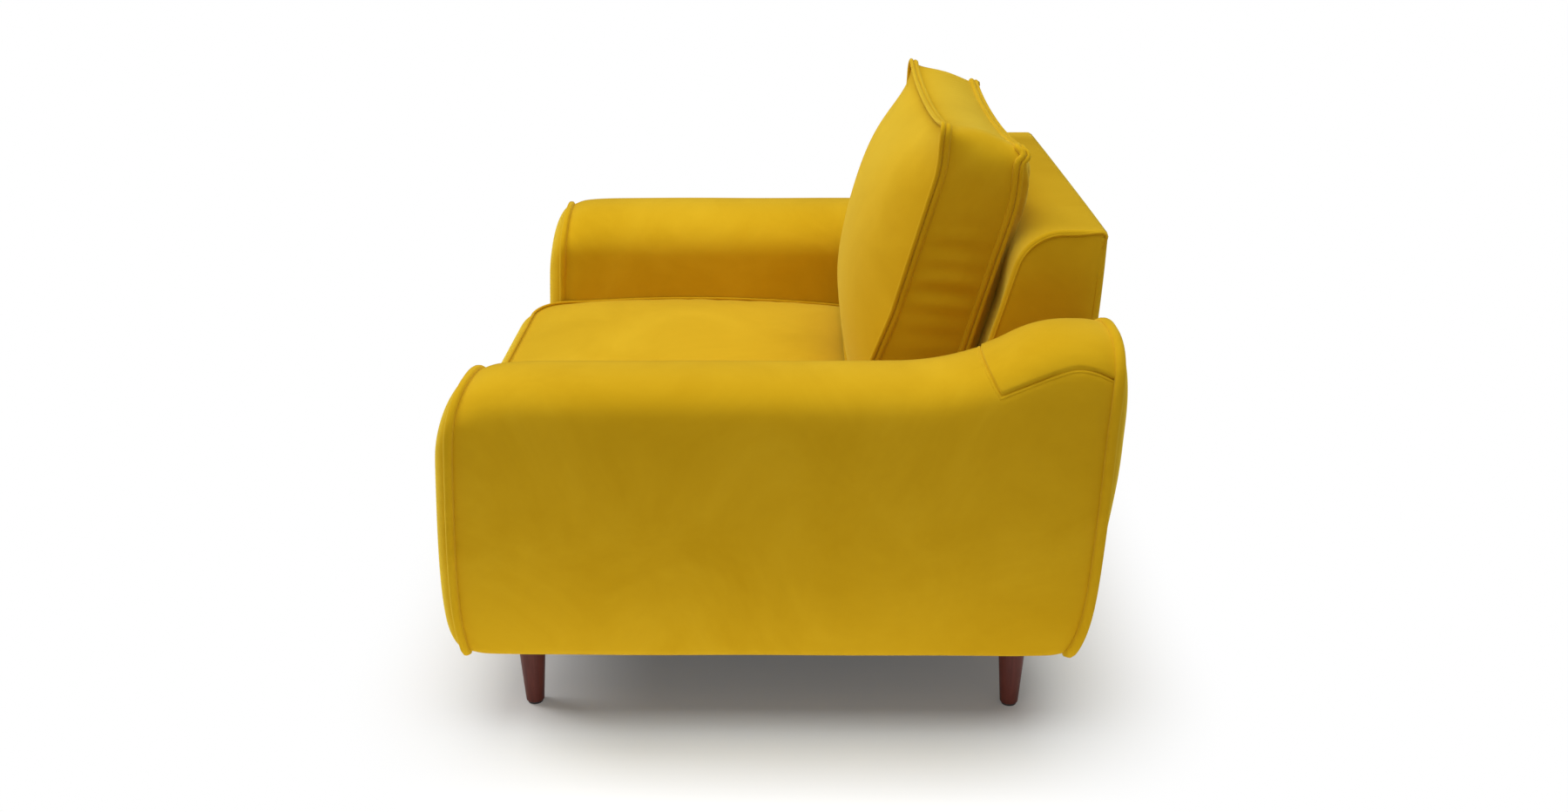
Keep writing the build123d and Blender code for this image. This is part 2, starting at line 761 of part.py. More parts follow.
def back_upright(inset, depth, low, high, low_x, high_x):
    """A raked timber or strap whose front lies an inset behind the back's face, between two heights."""
    front = shifted(back_face, inset / cos(rake))
    rear = shifted(front, depth / cos(rake))
    with BuildSketch() as timber:
        with BuildLine():
            Polyline((front(low), low), (rear(low), low), (rear(high), high), (front(high), high), close=True)
        make_face()
        add(back_area(inset), mode=Mode.INTERSECT)
    return across(timber.sketch, low_x, high_x)


back_post = back_upright(
    back_frame_inset, back_post_depth, rail_top, back_frame_top, back_post_low_x, back_post_high_x
)
write_both(back_post, "back_posts")
back_rail_half = back_post_low_x - gap
back_top_rail_low = back_frame_top - back_rail_height
back_top_rail = back_upright(
    back_frame_inset, back_rail_depth, back_top_rail_low, back_frame_top, -back_rail_half, back_rail_half
)
write_piece(back_top_rail, "back_top_rail")
back_low_rail_high = deck_top + back_rail_height
back_low_rail = back_upright(
    back_frame_inset, back_rail_depth, deck_top, back_low_rail_high, -back_rail_half, back_rail_half
)
write_piece(back_low_rail, "back_low_rail")

strap_half = strap_width / 2
strap_blank = back_upright(
    back_strap_inset, strap_thickness, deck_top, back_frame_top - gap, -strap_half, strap_half
)
with BuildPart() as back_straps:
    with GridLocations(strap_spacing, 1, strap_count, 1):
        add(strap_blank)
write_piece(back_straps.part, "back_straps")

back_board_rear = shifted(back_rear, -cover_thickness - gap)
back_board_front = shifted(back_board_rear, -back_board_thickness)
back_board = across(
    side_band(back_board_front, back_board_rear, frame_bottom, back_top - cover_thickness - gap),
    -back_cover_half,
    back_cover_half,
)
write_piece(back_board, "back_board")


# Seat cushion: one crowned block, the overlap of its plan, its side view and its front view
seat_half = arm_inner_x - seat_side_gap
seat_low = deck_top + cushion_gap
seat_seam = seat_low + seat_boxing
seat_crest = seat_seam + seat_crown
seat_front_seam = front_y + seat_front_bulge
seat_rear = back_front_base - seat_rear_gap


def seat_plan(inset):
    """The seat cushion seen from above, with rounder corners in front, drawn in by an inset."""
    front = front_y - cushion_gap
    with BuildSketch() as plan:
        with Locations((0, (front + seat_rear) / 2)):
            Rectangle(2 * seat_half, seat_rear - front)
        front_corners = plan.vertices().group_by(Axis.Y)[0]
        fillet(front_corners, radius=seat_corner_radius)
        rear_corners = plan.vertices().group_by(Axis.Y)[-1]
        fillet(rear_corners, radius=seat_rear_corner_radius)
        if inset:
            offset(amount=-inset, kind=Kind.INTERSECTION)
    return plan.sketch


def seat_side(inset):
    """The seat cushion's side view: bulging front, crowned top, flat foot, run on past its rear."""
    behind = seat_rear + trim_overrun
    with BuildSketch() as view:
        with BuildLine():
            foot = Line((seat_front_seam, seat_low), (behind, seat_low))
            back = Line(foot @ 1, (behind, seat_seam))
            ledge = Line(back @ 1, (seat_rear, seat_seam))
            crown_y = (seat_front_seam + seat_rear) / 2
            top = ThreePointArc(ledge @ 1, (crown_y, seat_crest), (seat_front_seam, seat_seam))
            ThreePointArc(top @ 1, (front_y, (seat_low + seat_seam) / 2), foot @ 0)
        make_face()
        if inset:
            offset(amount=-inset, kind=Kind.INTERSECTION)
    return view.sketch


def seat_front(inset):
    """The seat cushion's front view: a steeper crowned top, run on past its ends and its foot."""
    beyond = seat_half + trim_overrun
    below = seat_low - trim_overrun
    with BuildSketch() as view:
        with BuildLine():
            foot = Line((-beyond, below), (beyond, below))
            end = Line(foot @ 1, (beyond, seat_seam))
            ledge = Line(end @ 1, (seat_half, seat_seam))
            top = ThreePointArc(ledge @ 1, (0, seat_crest + crown_step), (-seat_half, seat_seam))
            far_ledge = Line(top @ 1, (-beyond, seat_seam))
            Line(far_ledge @ 1, foot @ 0)
        make_face()
        if inset:
            offset(amount=-inset, kind=Kind.INTERSECTION)
    return view.sketch


def seat_block(inset):
    """The whole seat cushion, drawn in by an inset."""
    side = across(seat_side(inset), -half_width, half_width)
    plan = seat_plan(inset)
    front = seat_front(inset)
    with BuildPart() as block:
        with BuildSketch(Plane.XY.offset(seat_low - trim_overrun)):
            add(plan)
        extrude(amount=seat_crest - seat_low + 2 * trim_overrun)
        add(side, mode=Mode.INTERSECT)
        with BuildSketch(Plane.XZ.offset(rear_y)):
            add(front)
        extrude(amount=-2 * rear_y, mode=Mode.INTERSECT)
    return block.part


def seat_bar(x, z, length, width, low_y, high_y):
    """A bar along X on the rear of the seat cushion."""
    with BuildPart() as bar:
        with BuildSketch(Plane.XZ.offset(-low_y)):
            with Locations((x, z)):
                Rectangle(length, width)
        extrude(amount=low_y - high_y)
    return bar.part


seat_zip_z = seat_low + seat_boxing / 2
seat_zip_slot = seat_bar(
    0,
    seat_zip_z,
    zip_length + 2 * gap,
    zip_width + 2 * gap,
    seat_rear - cover_thickness - gap,
    seat_rear + gap,
)
seat_outside = seat_block(0)
seat_lining = seat_block(cover_thickness)
with BuildPart() as seat_cushion_cover:
    add(seat_outside)
    add(seat_lining, mode=Mode.SUBTRACT)
    add(seat_zip_slot, mode=Mode.SUBTRACT)
write_piece(seat_cushion_cover.part, "seat_cushion_cover")
seat_cushion_core = seat_block(cover_thickness + gap)
write_piece(seat_cushion_core, "seat_cushion_core")

seat_clear = seat_block(-gap)
with BuildSketch() as seat_ring:
    add(seat_plan(0))
    with Locations((0, seat_front_seam)):
        Rectangle(sofa_width, sofa_depth, align=(Align.CENTER, Align.MAX), mode=Mode.SUBTRACT)
    offset(amount=cushion_welt_proud)
with BuildPart() as seat_cushion_welts:
    for seam in (seat_low + cushion_welt_width / 2, seat_seam):
        with BuildSketch(Plane.XY.offset(seam - cushion_welt_width / 2)):
            add(seat_ring.sketch)
        extrude(amount=cushion_welt_width)
    add(seat_clear, mode=Mode.SUBTRACT)
write_piece(seat_cushion_welts.part, "seat_cushion_welts")

seat_cushion_zip = seat_bar(0, seat_zip_z, zip_length, zip_width, seat_rear - cover_thickness, seat_rear)
write_piece(seat_cushion_zip, "seat_cushion_zip")
slider_x = zip_length / 2 - zip_slider_length / 2
slider_y = seat_rear + zip_gap
seat_slider_body = seat_bar(
    slider_x, seat_zip_z, zip_slider_length, zip_slider_width, slider_y, slider_y + zip_slider_height
)
pull_y = slider_y + zip_slider_height - zip_pull_thickness
pull_z = seat_zip_z - zip_slider_width / 2 - zip_pull_length / 2
seat_slider_pull = seat_bar(
    slider_x, pull_z, zip_pull_width, zip_pull_length, pull_y, pull_y + zip_pull_thickness
)
with BuildPart() as seat_cushion_zip_slider:
    add(seat_slider_body)
    add(seat_slider_pull)
write_piece(seat_cushion_zip_slider.part, "seat_cushion_zip_slider")

# Back cushion, drawn in a frame that leans with the back: X across, Y up the rake, Z out in front
pillow_up = (0, sin(rake), cos(rake))
pillow_out = (0, -cos(rake), sin(rake))
pillow_foot = (0, back_front_base, deck_top)
pillow_plane = Plane(pillow_foot, x_dir=(1, 0, 0), z_dir=pillow_out)
pillow_side_plane = Plane(pillow_foot, x_dir=pillow_out, z_dir=(-1, 0, 0))
pillow_end_plane = Plane(pillow_foot, x_dir=pillow_out, z_dir=pillow_up)
pillow_half = arm_inner_x - pillow_end_gap
pillow_width = 2 * pillow_half
pillow_middle = (pillow_low + pillow_top) / 2
pillow_rear_seam = pillow_rear_crown + cushion_gap
pillow_front_seam = pillow_rear_seam + pillow_boxing


def pillow_outline(low, inset):
    """The back cushion seen from in front, drawn in by an inset."""
    with BuildSketch() as outline:
        with Locations((0, (low + pillow_top) / 2)):
            RectangleRounded(pillow_width, pillow_top - low, pillow_corner_radius)
        if inset:
            offset(amount=-inset)
    return outline.sketch


def pillow_profile(low, high, step, inset):
    """A view along one edge of the back cushion, run on past its ends, with crowns higher by a step."""
    middle = (low + high) / 2
    rear_crown = pillow_rear_seam - pillow_rear_crown - step
    front_crown = pillow_front_seam + pillow_front_crown + step
    rear = bow((pillow_rear_seam, low), (rear_crown, middle), (pillow_rear_seam, high))
    front = bow((pillow_front_seam, low), (front_crown, middle), (pillow_front_seam, high))
    with BuildSketch() as view:
        add(side_band(rear, front, low - crown_overrun, high + crown_overrun))
        if inset:
            offset(amount=-inset, kind=Kind.INTERSECTION)
    return view.sketch


def pillow_block(inset):
    """The whole back cushion, drawn in by an inset, with its foot on the seat cushion."""
    outline = pillow_outline(pillow_low, inset)
    side = pillow_profile(pillow_low, pillow_top, 0, inset)
    end = pillow_profile(-pillow_half, pillow_half, crown_step, inset)
    seat_under = seat_block(-cushion_welt_proud - cushion_gap - inset)
    with BuildPart() as block:
        with BuildSketch(pillow_plane):
            add(outline)
        extrude(amount=sofa_depth / 2, both=True)
        with BuildSketch(pillow_side_plane):
            add(side)
        extrude(amount=half_width, both=True, mode=Mode.INTERSECT)
        with BuildSketch(pillow_end_plane):
            add(end)
        extrude(amount=sofa_depth, both=True, mode=Mode.INTERSECT)
        add(seat_under, mode=Mode.SUBTRACT)
    return block.part


def pillow_bar(x, rise, length, width, low_out, high_out):
    """A bar along X on the rear of the back cushion."""
    with BuildPart() as bar:
        with BuildSketch(pillow_plane.offset(low_out)):
            with Locations((x, rise)):
                Rectangle(length, width)
        extrude(amount=high_out - low_out)
    return bar.part


pillow_zip_y = pillow_low + pillow_zip_rise
pillow_reach = (pillow_zip_y - pillow_middle) / (pillow_top - pillow_middle)
pillow_zip_skin = pillow_rear_seam - pillow_rear_crown * (1 - pillow_reach**2)
pillow_zip_slot = pillow_bar(
    0,
    pillow_zip_y,
    zip_length + 2 * gap,
    zip_width + 2 * gap,
    pillow_zip_skin - zip_gap,
    pillow_zip_skin + cover_thickness + gap,
)
pillow_outside = pillow_block(0)
pillow_lining = pillow_block(cover_thickness)
with BuildPart() as back_cushion_cover:
    add(pillow_outside)
    add(pillow_lining, mode=Mode.SUBTRACT)
    add(pillow_zip_slot, mode=Mode.SUBTRACT)
write_piece(back_cushion_cover.part, "back_cushion_cover")
back_cushion_core = pillow_block(cover_thickness + gap)
write_piece(back_cushion_core, "back_cushion_core")

pillow_clear = pillow_block(-gap)
pillow_ring = pillow_outline(pillow_low, -cushion_welt_proud)
with BuildPart() as back_cushion_welts:
    for seam in (pillow_rear_seam, pillow_front_seam):
        with BuildSketch(pillow_plane.offset(seam - cushion_welt_width / 2)):
            add(pillow_ring)
            with Locations((0, pillow_welt_low)):
                Rectangle(2 * pillow_width, pillow_width, align=(Align.CENTER, Align.MAX), mode=Mode.SUBTRACT)
        extrude(amount=cushion_welt_width)
    add(pillow_clear, mode=Mode.SUBTRACT)
write_piece(back_cushion_welts.part, "back_cushion_welts")

back_cushion_zip = pillow_bar(
    0, pillow_zip_y, zip_length, zip_width, pillow_zip_skin + gap, pillow_zip_skin + cover_thickness - gap
)
write_piece(back_cushion_zip, "back_cushion_zip")
slider_out = pillow_zip_skin - zip_gap
pillow_slider_body = pillow_bar(
    slider_x, pillow_zip_y, zip_slider_length, zip_slider_width, slider_out - zip_slider_height, slider_out
)
pull_out = slider_out - zip_slider_height
pull_rise = pillow_zip_y - zip_slider_width / 2 - zip_pull_length / 2
pillow_slider_pull = pillow_bar(
    slider_x, pull_rise, zip_pull_width, zip_pull_length, pull_out, pull_out + zip_pull_thickness
)
with BuildPart() as back_cushion_zip_slider:
    add(pillow_slider_body)
    add(pillow_slider_pull)
write_piece(back_cushion_zip_slider.part, "back_cushion_zip_slider")
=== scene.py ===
import json
from math import atan, cos, pi, radians, sin, sqrt

import bpy
import numpy as np
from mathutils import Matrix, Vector
from mathutils.bvhtree import BVHTree


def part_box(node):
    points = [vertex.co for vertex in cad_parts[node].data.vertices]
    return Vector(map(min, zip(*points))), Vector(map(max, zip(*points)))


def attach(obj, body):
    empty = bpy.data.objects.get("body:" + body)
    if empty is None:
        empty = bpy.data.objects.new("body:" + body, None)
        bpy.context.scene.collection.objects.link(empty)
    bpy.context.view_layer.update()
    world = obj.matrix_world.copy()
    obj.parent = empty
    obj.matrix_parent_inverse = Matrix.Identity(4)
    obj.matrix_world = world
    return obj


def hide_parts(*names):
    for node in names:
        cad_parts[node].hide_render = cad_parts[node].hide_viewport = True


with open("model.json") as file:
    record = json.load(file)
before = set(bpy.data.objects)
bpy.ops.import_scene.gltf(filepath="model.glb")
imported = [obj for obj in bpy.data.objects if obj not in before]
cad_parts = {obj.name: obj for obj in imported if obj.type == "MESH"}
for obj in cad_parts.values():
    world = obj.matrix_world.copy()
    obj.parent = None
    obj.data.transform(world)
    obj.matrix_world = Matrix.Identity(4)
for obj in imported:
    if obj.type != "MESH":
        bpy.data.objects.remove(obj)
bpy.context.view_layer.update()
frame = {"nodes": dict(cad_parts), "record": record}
nodes = frame["nodes"]
scene = bpy.context.scene

# The sofa's dressed shapes, in metres: +X right seen from the front, the front faces -Y, Z up.
# A band says where a change starts and where it is complete. Three numbers together are a size with its
# band, with its middle and width, or with its place and reach, as stepped, swollen and faded take them.

# Mesh spacing and cloth
grid_step = 0.007
cloth_thickness = 0.0025
cloth_wave = 0.0008
tube_sides = 14
panel_start = 0.03

# Arms
arm_shoulder = 0.088
arm_outer_roundness = 2.6
arm_inner_roundness = 2.05
arm_crest_shift = 0.008
arm_settle = 0.0155
arm_crest_settle = 0.0060
arm_hang = 0.0055
arm_foot_roll = 0.008
arm_foot_tuck = 0.030
arm_lift_low = 0.30
arm_heart_z = 0.45
rise_start = 0.190
rise_dip = 0.170
rise_crest = 0.080

# The arms' end seams
front_seam_y = -0.4605
front_seam_level = 0.25
front_lean = 0.057
front_slant = 0.012
front_foot_bend = (0.0215, 0.1375, 0.065)
front_head_bend = (0.004, 0.54, -0.03)
near_droop_bend = (0.009, 0.0, 0.03)
far_droop_bend = (0.003, 0.0, 0.12)
droop_below_top = 0.01
rear_seam_y = 0.4835
rear_lean = 0.045
rear_knee = 0.42
rear_knee_softness = 0.03
rear_flare = 0.30
rear_foot_bend = (0.0205, 0.145, 0.04)

# The arms' padding
seam_dip = 0.0045
seam_dip_width = 0.018
side_swell = (0.0055, 0.29, 0.12)
under_roll = (-0.0040, -0.0625, 0.030)
padding_end_band = (0, 0.10)
outer_from_middle = 0.09
outer_from_side = 0.004
top_swell_depth = 0.05

# The arms' end panels and welts
welt_proud = 0.0035
welt_sunk = 0.0005
welt_half_height = 0.0085
front_welt_half_width = 0.0066
rear_welt_half_width = 0.0080
welt_flatness = 0.75
front_level_band = (0.40, 0.44)
rear_level_drops = (0.06, 0.03)
welt_inner_margin = 0.02
front_bulge = 0.032
rear_bulge = 0.027
rear_low_share = 0.35
panel_full_band = (0.22, 0.46)
panel_inset = 0.004
panel_depth = 0.004

# Sewn patch over the raised rear end of each arm
patch_front_y = 0.3110
patch_front_slope = 0.51
patch_rear_guess = 0.48
patch_peak_y = 0.436
patch_peak_z = 0.5815
patch_bend = 0.0130
patch_slope = 0.47
patch_lip = 0.007
patch_lift = 0.0003
patch_proud = (0.0018, 0, 0.003)
patch_groove = (-0.0026, 0, 0.0013)
patch_tuck = (-0.0026, -0.0035, -0.0068)
patch_bed = (-0.004, -0.006, 0.006)

# Back
back_rake = radians(16)
back_sunk = 0.006
back_brow_radius = 0.076
back_edge_radius = 0.010
back_end_gap = 0.0005
back_end_roll = 0.0065
back_end_roll_drops = (0.050, 0.012)
back_corner_radius = 0.010
back_corner_tuck = 0.002
back_crown = 0.001
back_wave = 0.0009
back_wave_end = 0.05
back_wave_drops = (0.02, 0.07)
back_welt_radius = 0.0018
back_welt_inset = 0.0012
back_welt_tail = ((0.0010, 0.004), (0.0026, 0.009), (0.0045, 0.015))
back_dent = 0.008
dent_side_band = (0.400, 0.350)
dent_top_band = (0.665, 0.590)
dent_foot_band = (0.30, 0.40)
end_panel_inset = 0.004
end_panel_low_inset = 0.004
end_panel_inset_drops = (0.02, 0.09)
end_panel_edge = 0.0020
end_panel_swell = 0.0035
end_panel_swell_rises = (-0.02, 0.05)
end_panel_depth = 0.008
outside_foot_y = 0.4425
outside_middle = (0.500, 0.520)
outside_swell = 0.004

# Front border
border_radius = 0.014
border_swell = (0.0035, 0.185, 0.03)
border_swell_depth = 0.02
border_wave = 0.0007

# Both loose cushions
cushion_pressure = 4.0
boxing_rows = 18

# Seat cushion
seat_seam_inset = 0.022
seat_front_radius = 0.085
seat_rear_radius = 0.030
seat_front_bulge = 0.036
seat_front_bulge_runs = (0.075, 0.020)
seat_side_bulge = 0.0015
seat_front_reach = 0.020
seat_rear_reach = 0.004
seat_edge_peak_y = -0.170
seat_edge_peak_z = 0.3805
seat_edge_fall = 0.16
seat_crown = 0.020
seat_puff = 0.0054
seat_seam_drop = 0.0036
seat_side_drop = 0.0070
seat_side_drop_run = 0.10
seat_wave = 0.0007
seat_cap = 0.022
seat_lift = 0.0004
seat_side_gap = 0.0012
seat_ear = (0.016, -0.458, -0.482)
seat_bead = 0.0030
seat_top_bead_lift = 0.002
seat_low_bead_lift = 0.006

# Back cushion, in a frame that leans with the back: x across, v up the rake, w out in front
pillow_half = 0.345
pillow_low = 0.140
pillow_top = 0.618
pillow_crown = 0.076
pillow_peak = 0.088
pillow_power = 3.0
pillow_low_power = 2.2
pillow_high_power = 3.3
pillow_front_w = 0.138
pillow_front_head = (0.014, 0.53, 0.63)
pillow_front_foot = (0.008, 0.34, 0.22)
pillow_rear_w = 0.0125
pillow_rear_head = (0.018, 0.50, 0.63)
pillow_head_power = 1.5
pillow_side_bulge = 0.010
pillow_head_bulge = 0.012
pillow_soft_radius = 0.072
pillow_rear_bulge = 0.0130
pillow_rear_side_power = 16
pillow_rear_head_power = 12
pillow_cap = 0.022
pillow_waist = 0.007
pillow_dip = 0.016
pillow_ear = 0.006
pillow_ear_power = 7
pillow_corner_radius = 0.016
pillow_rear_corner_radius = 0.034
pillow_bead = 0.0040
pillow_bead_proud = 0.0068
pillow_gap = 0.0015
pillow_bead_gap = 0.0008
pillow_foot_zone = 0.46

# Creases in the back cushion's boxing
side_fold = (0.0021, 0.385, 0.085)
side_fold_pitch = 0.036
side_fold_slope = 0.10
side_fold_y = 0.25
side_fold_x_band = (0.30, 0.335)
side_fold_v_band = (0.60, 0.54)
head_fold = (0.0017, 0.25, 0.8)
head_fold_pitch = 0.021
head_fold_slant = 0.10
head_fold_drops = (0.05, 0.02)
head_fold_x_band = (0.34, 0.28)

# Zips: widths across the teeth, heights above the cloth they are sewn to
zip_pitch = 0.0032
zip_tooth = 0.0024
zip_tooth_side = 0.0008
zip_tooth_shoulder = 0.0026
zip_tooth_root = 0.0006
zip_tape_half = 0.0055
zip_tape_top = 0.0016
zip_tape_curve = 12
zip_tape_thickness = 0.0008
zip_tooth_top = 0.0032
zip_slider_top = 0.0070
zip_slider_half = 0.0032
zip_slider_flare = 0.0013
zip_pull_half = 0.0025
zip_pull_start = 0.002
zip_pull_length = 0.0285
zip_pull_rim = 0.0004
zip_pull_lift = 0.0002
zip_pull_drop = 0.0012
zip_pull_thickness = 0.0012
zip_bed = 0.0005
zip_bed_band = (0.0135, 0.0065)
zip_bed_ends = (0.015, 0.002)
pillow_zip_v = 0.170
pillow_zip_w = 0.0122
pillow_flat_rises = (0.010, 0.065)
pillow_held_rise = 0.015

# Places read from the frame
arm_low, arm_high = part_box("arm_cover_right")
arm_outer, arm_inner, arm_foot = arm_high.x, arm_low.x, arm_low.z - arm_hang
arm_middle = (arm_outer + arm_inner) / 2
arm_half = (arm_outer - arm_inner) / 2
arm_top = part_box("arm_front_welt_right")[1].z - arm_settle
arm_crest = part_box("arm_top_patch_right")[1].z - arm_crest_settle
arm_rise = arm_crest - arm_top
back_low_corner, back_high_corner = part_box("back_cover")
back_top = back_high_corner.z
back_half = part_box("back_end_panel_right")[1].x
back_rear_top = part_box("outside_back")[1].y
deck_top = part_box("seat_deck")[1].z
seat_low_corner, seat_high_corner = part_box("seat_cushion_cover")
seat_half = seat_high_corner.x
seat_front = seat_low_corner.y
seat_rear = seat_high_corner.y
seat_low = seat_low_corner.z
seat_front_seam = seat_front + seat_seam_inset
border_low, border_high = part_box("border_cover")
foot_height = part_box("dust_cover")[0].z
seat_zip_low, seat_zip_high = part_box("seat_cushion_zip")
seat_zip_y = seat_zip_low.y + zip_bed
seat_zip_z = (seat_zip_low.z + seat_zip_high.z) / 2
zip_half = seat_zip_high.x


def smooth(low, high, value):
    """A smooth step from 0 at low to 1 at high; low may be the larger one."""
    t = np.clip((value - low) / (high - low), 0, 1)
    return t * t * (3 - 2 * t)


def bump(value, centre, width):
    """A soft bump of height 1."""
    return np.exp(-(((value - centre) / width) ** 2))


def stepped(size, low, high, value):
    """A smooth step of a size."""
    return size * smooth(low, high, value)


def swollen(size, middle, width, value):
    """A soft bump of a size."""
    return size * bump(value, middle, width)


def faded(size, place, reach, value):
    """A bend that has its size at a place and fades over a reach beyond it."""
    return size * np.exp((place - value) / reach)


def unit(vectors):
    """Vectors of length 1."""
    return vectors / np.maximum(np.linalg.norm(vectors, axis=-1, keepdims=True), 1e-12)


def ripple(a, b):
    """An uneven wave from about -1 to 1."""
    wave = np.sin(9.1 * a + 4.7 * b + 0.6) + np.sin(14.3 * b - 6.2 * a + 2.1)
    return (wave + np.sin(21.7 * a + 17.9 * b + 4.0)) / 3


def rounded_turn(angle, power):
    """Cosine and sine of angles, squared off by a power below 1."""
    across, along = np.cos(angle), np.sin(angle)
    return np.sign(across) * np.abs(across) ** power, np.sign(along) * np.abs(along) ** power


def grid(x, y, z):
    """Points from coordinates that spread over rows and columns."""
    return np.stack(np.broadcast_arrays(x, y, z), axis=-1)


def bow(low, middle, high):
    """The circle through three (y, z) points, as y for heights z."""
    (y1, z1), (y2, z2), (y3, z3) = low, middle, high
    turn = 2 * (y1 * (z2 - z3) + y2 * (z3 - z1) + y3 * (z1 - z2))
    s1, s2, s3 = y1**2 + z1**2, y2**2 + z2**2, y3**2 + z3**2
    centre_y = (s1 * (z2 - z3) + s2 * (z3 - z1) + s3 * (z1 - z2)) / turn
    centre_z = (s1 * (y3 - y2) + s2 * (y1 - y3) + s3 * (y2 - y1)) / turn
    radius = sqrt((y2 - centre_y) ** 2 + (z2 - centre_z) ** 2)
    side = 1 if y2 > centre_y else -1
    return lambda z: centre_y + side * np.sqrt(radius**2 - (z - centre_z) ** 2)


def even(points, step, closed=False):
    """A polyline's points, spaced evenly along it."""
    points = np.asarray(points, float)
    if closed:
        points = np.vstack([points, points[:1]])
    walked = np.concatenate([[0], np.cumsum(np.linalg.norm(np.diff(points, axis=0), axis=1))])
    count = max(int(round(walked[-1] / step)), 4)
    stops = np.linspace(0, walked[-1], count + 1)
    spaced = np.stack([np.interp(stops, walked, column) for column in points.T], axis=1)
    return spaced[:-1] if closed else spaced


def arc(across, up, radius, start, stop, count):
    """Points on an arc round (across, up); its angles are counted from the top, towards +across."""
    turn = np.linspace(start, stop, count)
    return np.stack([across + radius * np.sin(turn), up + radius * np.cos(turn)], axis=1)


def mesh_piece(name, points, faces):
    """A smooth-shaded mesh object."""
    mesh = bpy.data.meshes.new(name)
    mesh.from_pydata(np.asarray(points).tolist(), [], faces)
    mesh.update()
    mesh.shade_smooth()
    piece = bpy.data.objects.new(name, mesh)
    scene.collection.objects.link(piece)
    return piece


def quads(index, flip=False, closed=False):
    """Faces over a grid of point numbers, closed round if asked."""
    if closed:
        index = np.concatenate([index, index[:, :1]], axis=1)
    corners = [index[:-1, :-1], index[1:, :-1], index[1:, 1:], index[:-1, 1:]]
    if flip:
        corners.reverse()
    return np.stack(corners, axis=-1).reshape(-1, 4).tolist()


def grid_normals(points, inside):
    """Normals away from an inside point, and whether the grid runs the other way."""
    normals = unit(np.cross(np.gradient(points, axis=0), np.gradient(points, axis=1)))
    flip = np.sum(normals * (points - np.asarray(inside))) < 0
    return (-normals if flip else normals), flip


def thick_sheet(name, points, inside, thickness=cloth_thickness):
    """A closed sheet from a grid of points on its outside."""
    normals, flip = grid_normals(points, inside)
    rows, columns = points.shape[:2]
    outer = np.arange(rows * columns).reshape(rows, columns)
    inner = outer + rows * columns
    faces = quads(outer, flip) + quads(inner, not flip)
    for edge_outer, edge_inner, turn in (
        (outer[0], inner[0], False),
        (outer[-1], inner[-1], True),
        (outer[:, 0], inner[:, 0], True),
        (outer[:, -1], inner[:, -1], False),
    ):
        faces += quads(np.stack([edge_inner, edge_outer]), flip=turn != flip)
    both = np.concatenate([points.reshape(-1, 3), (points - normals * thickness).reshape(-1, 3)])
    return mesh_piece(name, both, faces)


def closed_rings(name, rings, flip=False):
    """A form from rings of points, closed at both ends."""
    count, around = rings.shape[:2]
    points = np.concatenate([rings.reshape(-1, 3), [rings[0].mean(0)], [rings[-1].mean(0)]])
    index = np.arange(count * around).reshape(count, around)
    faces = quads(index, flip, closed=True)
    for ring, pole, turn in ((index[0], count * around, flip), (index[-1], count * around + 1, not flip)):
        following = np.roll(ring, -1)
        pairs = zip(following, ring) if turn else zip(ring, following)
        faces += [[int(a), int(b), pole] for a, b in pairs]
    return mesh_piece(name, points, faces)


def tube_points(path, outward, half_width, half_height, closed, flatness=1.0):
    """Rings of points round a path: half_height along outward and half_width across it."""
    if closed:
        along = unit(np.roll(path, -1, axis=0) - np.roll(path, 1, axis=0))
    else:
        along = unit(np.gradient(path, axis=0))
    out = unit(outward - np.sum(outward * along, axis=1, keepdims=True) * along)
    across = np.cross(along, out)
    turn_x, turn_y = rounded_turn(np.linspace(0, 2 * pi, tube_sides, endpoint=False), flatness)
    wide = turn_x[None, :, None] * across[:, None] * half_width
    tall = turn_y[None, :, None] * out[:, None] * half_height
    return path[:, None] + wide + tall


def tubes(name, paths):
    """One mesh of several tubes, each given as (rings of points, closed)."""
    points, faces, start = [], [], 0
    for rings, closed in paths:
        count = rings.shape[0]
        index = np.arange(count * tube_sides).reshape(count, tube_sides) + start
        faces += quads(np.vstack([index, index[:1]]) if closed else index, closed=True)
        if not closed:
            faces += [index[0].tolist(), index[-1][::-1].tolist()]
        points.append(rings.reshape(-1, 3))
        start += count * tube_sides
    return mesh_piece(name, np.concatenate(points), faces)


def dress(piece, body, slot, *stood_for, fill=None):
    """Gives a piece its body and its slot's material, and hides the solids it stands for."""
    piece.data.materials.append(slot_materials[slot])
    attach(piece, body)
    if stood_for:
        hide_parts(*stood_for)


# Materials


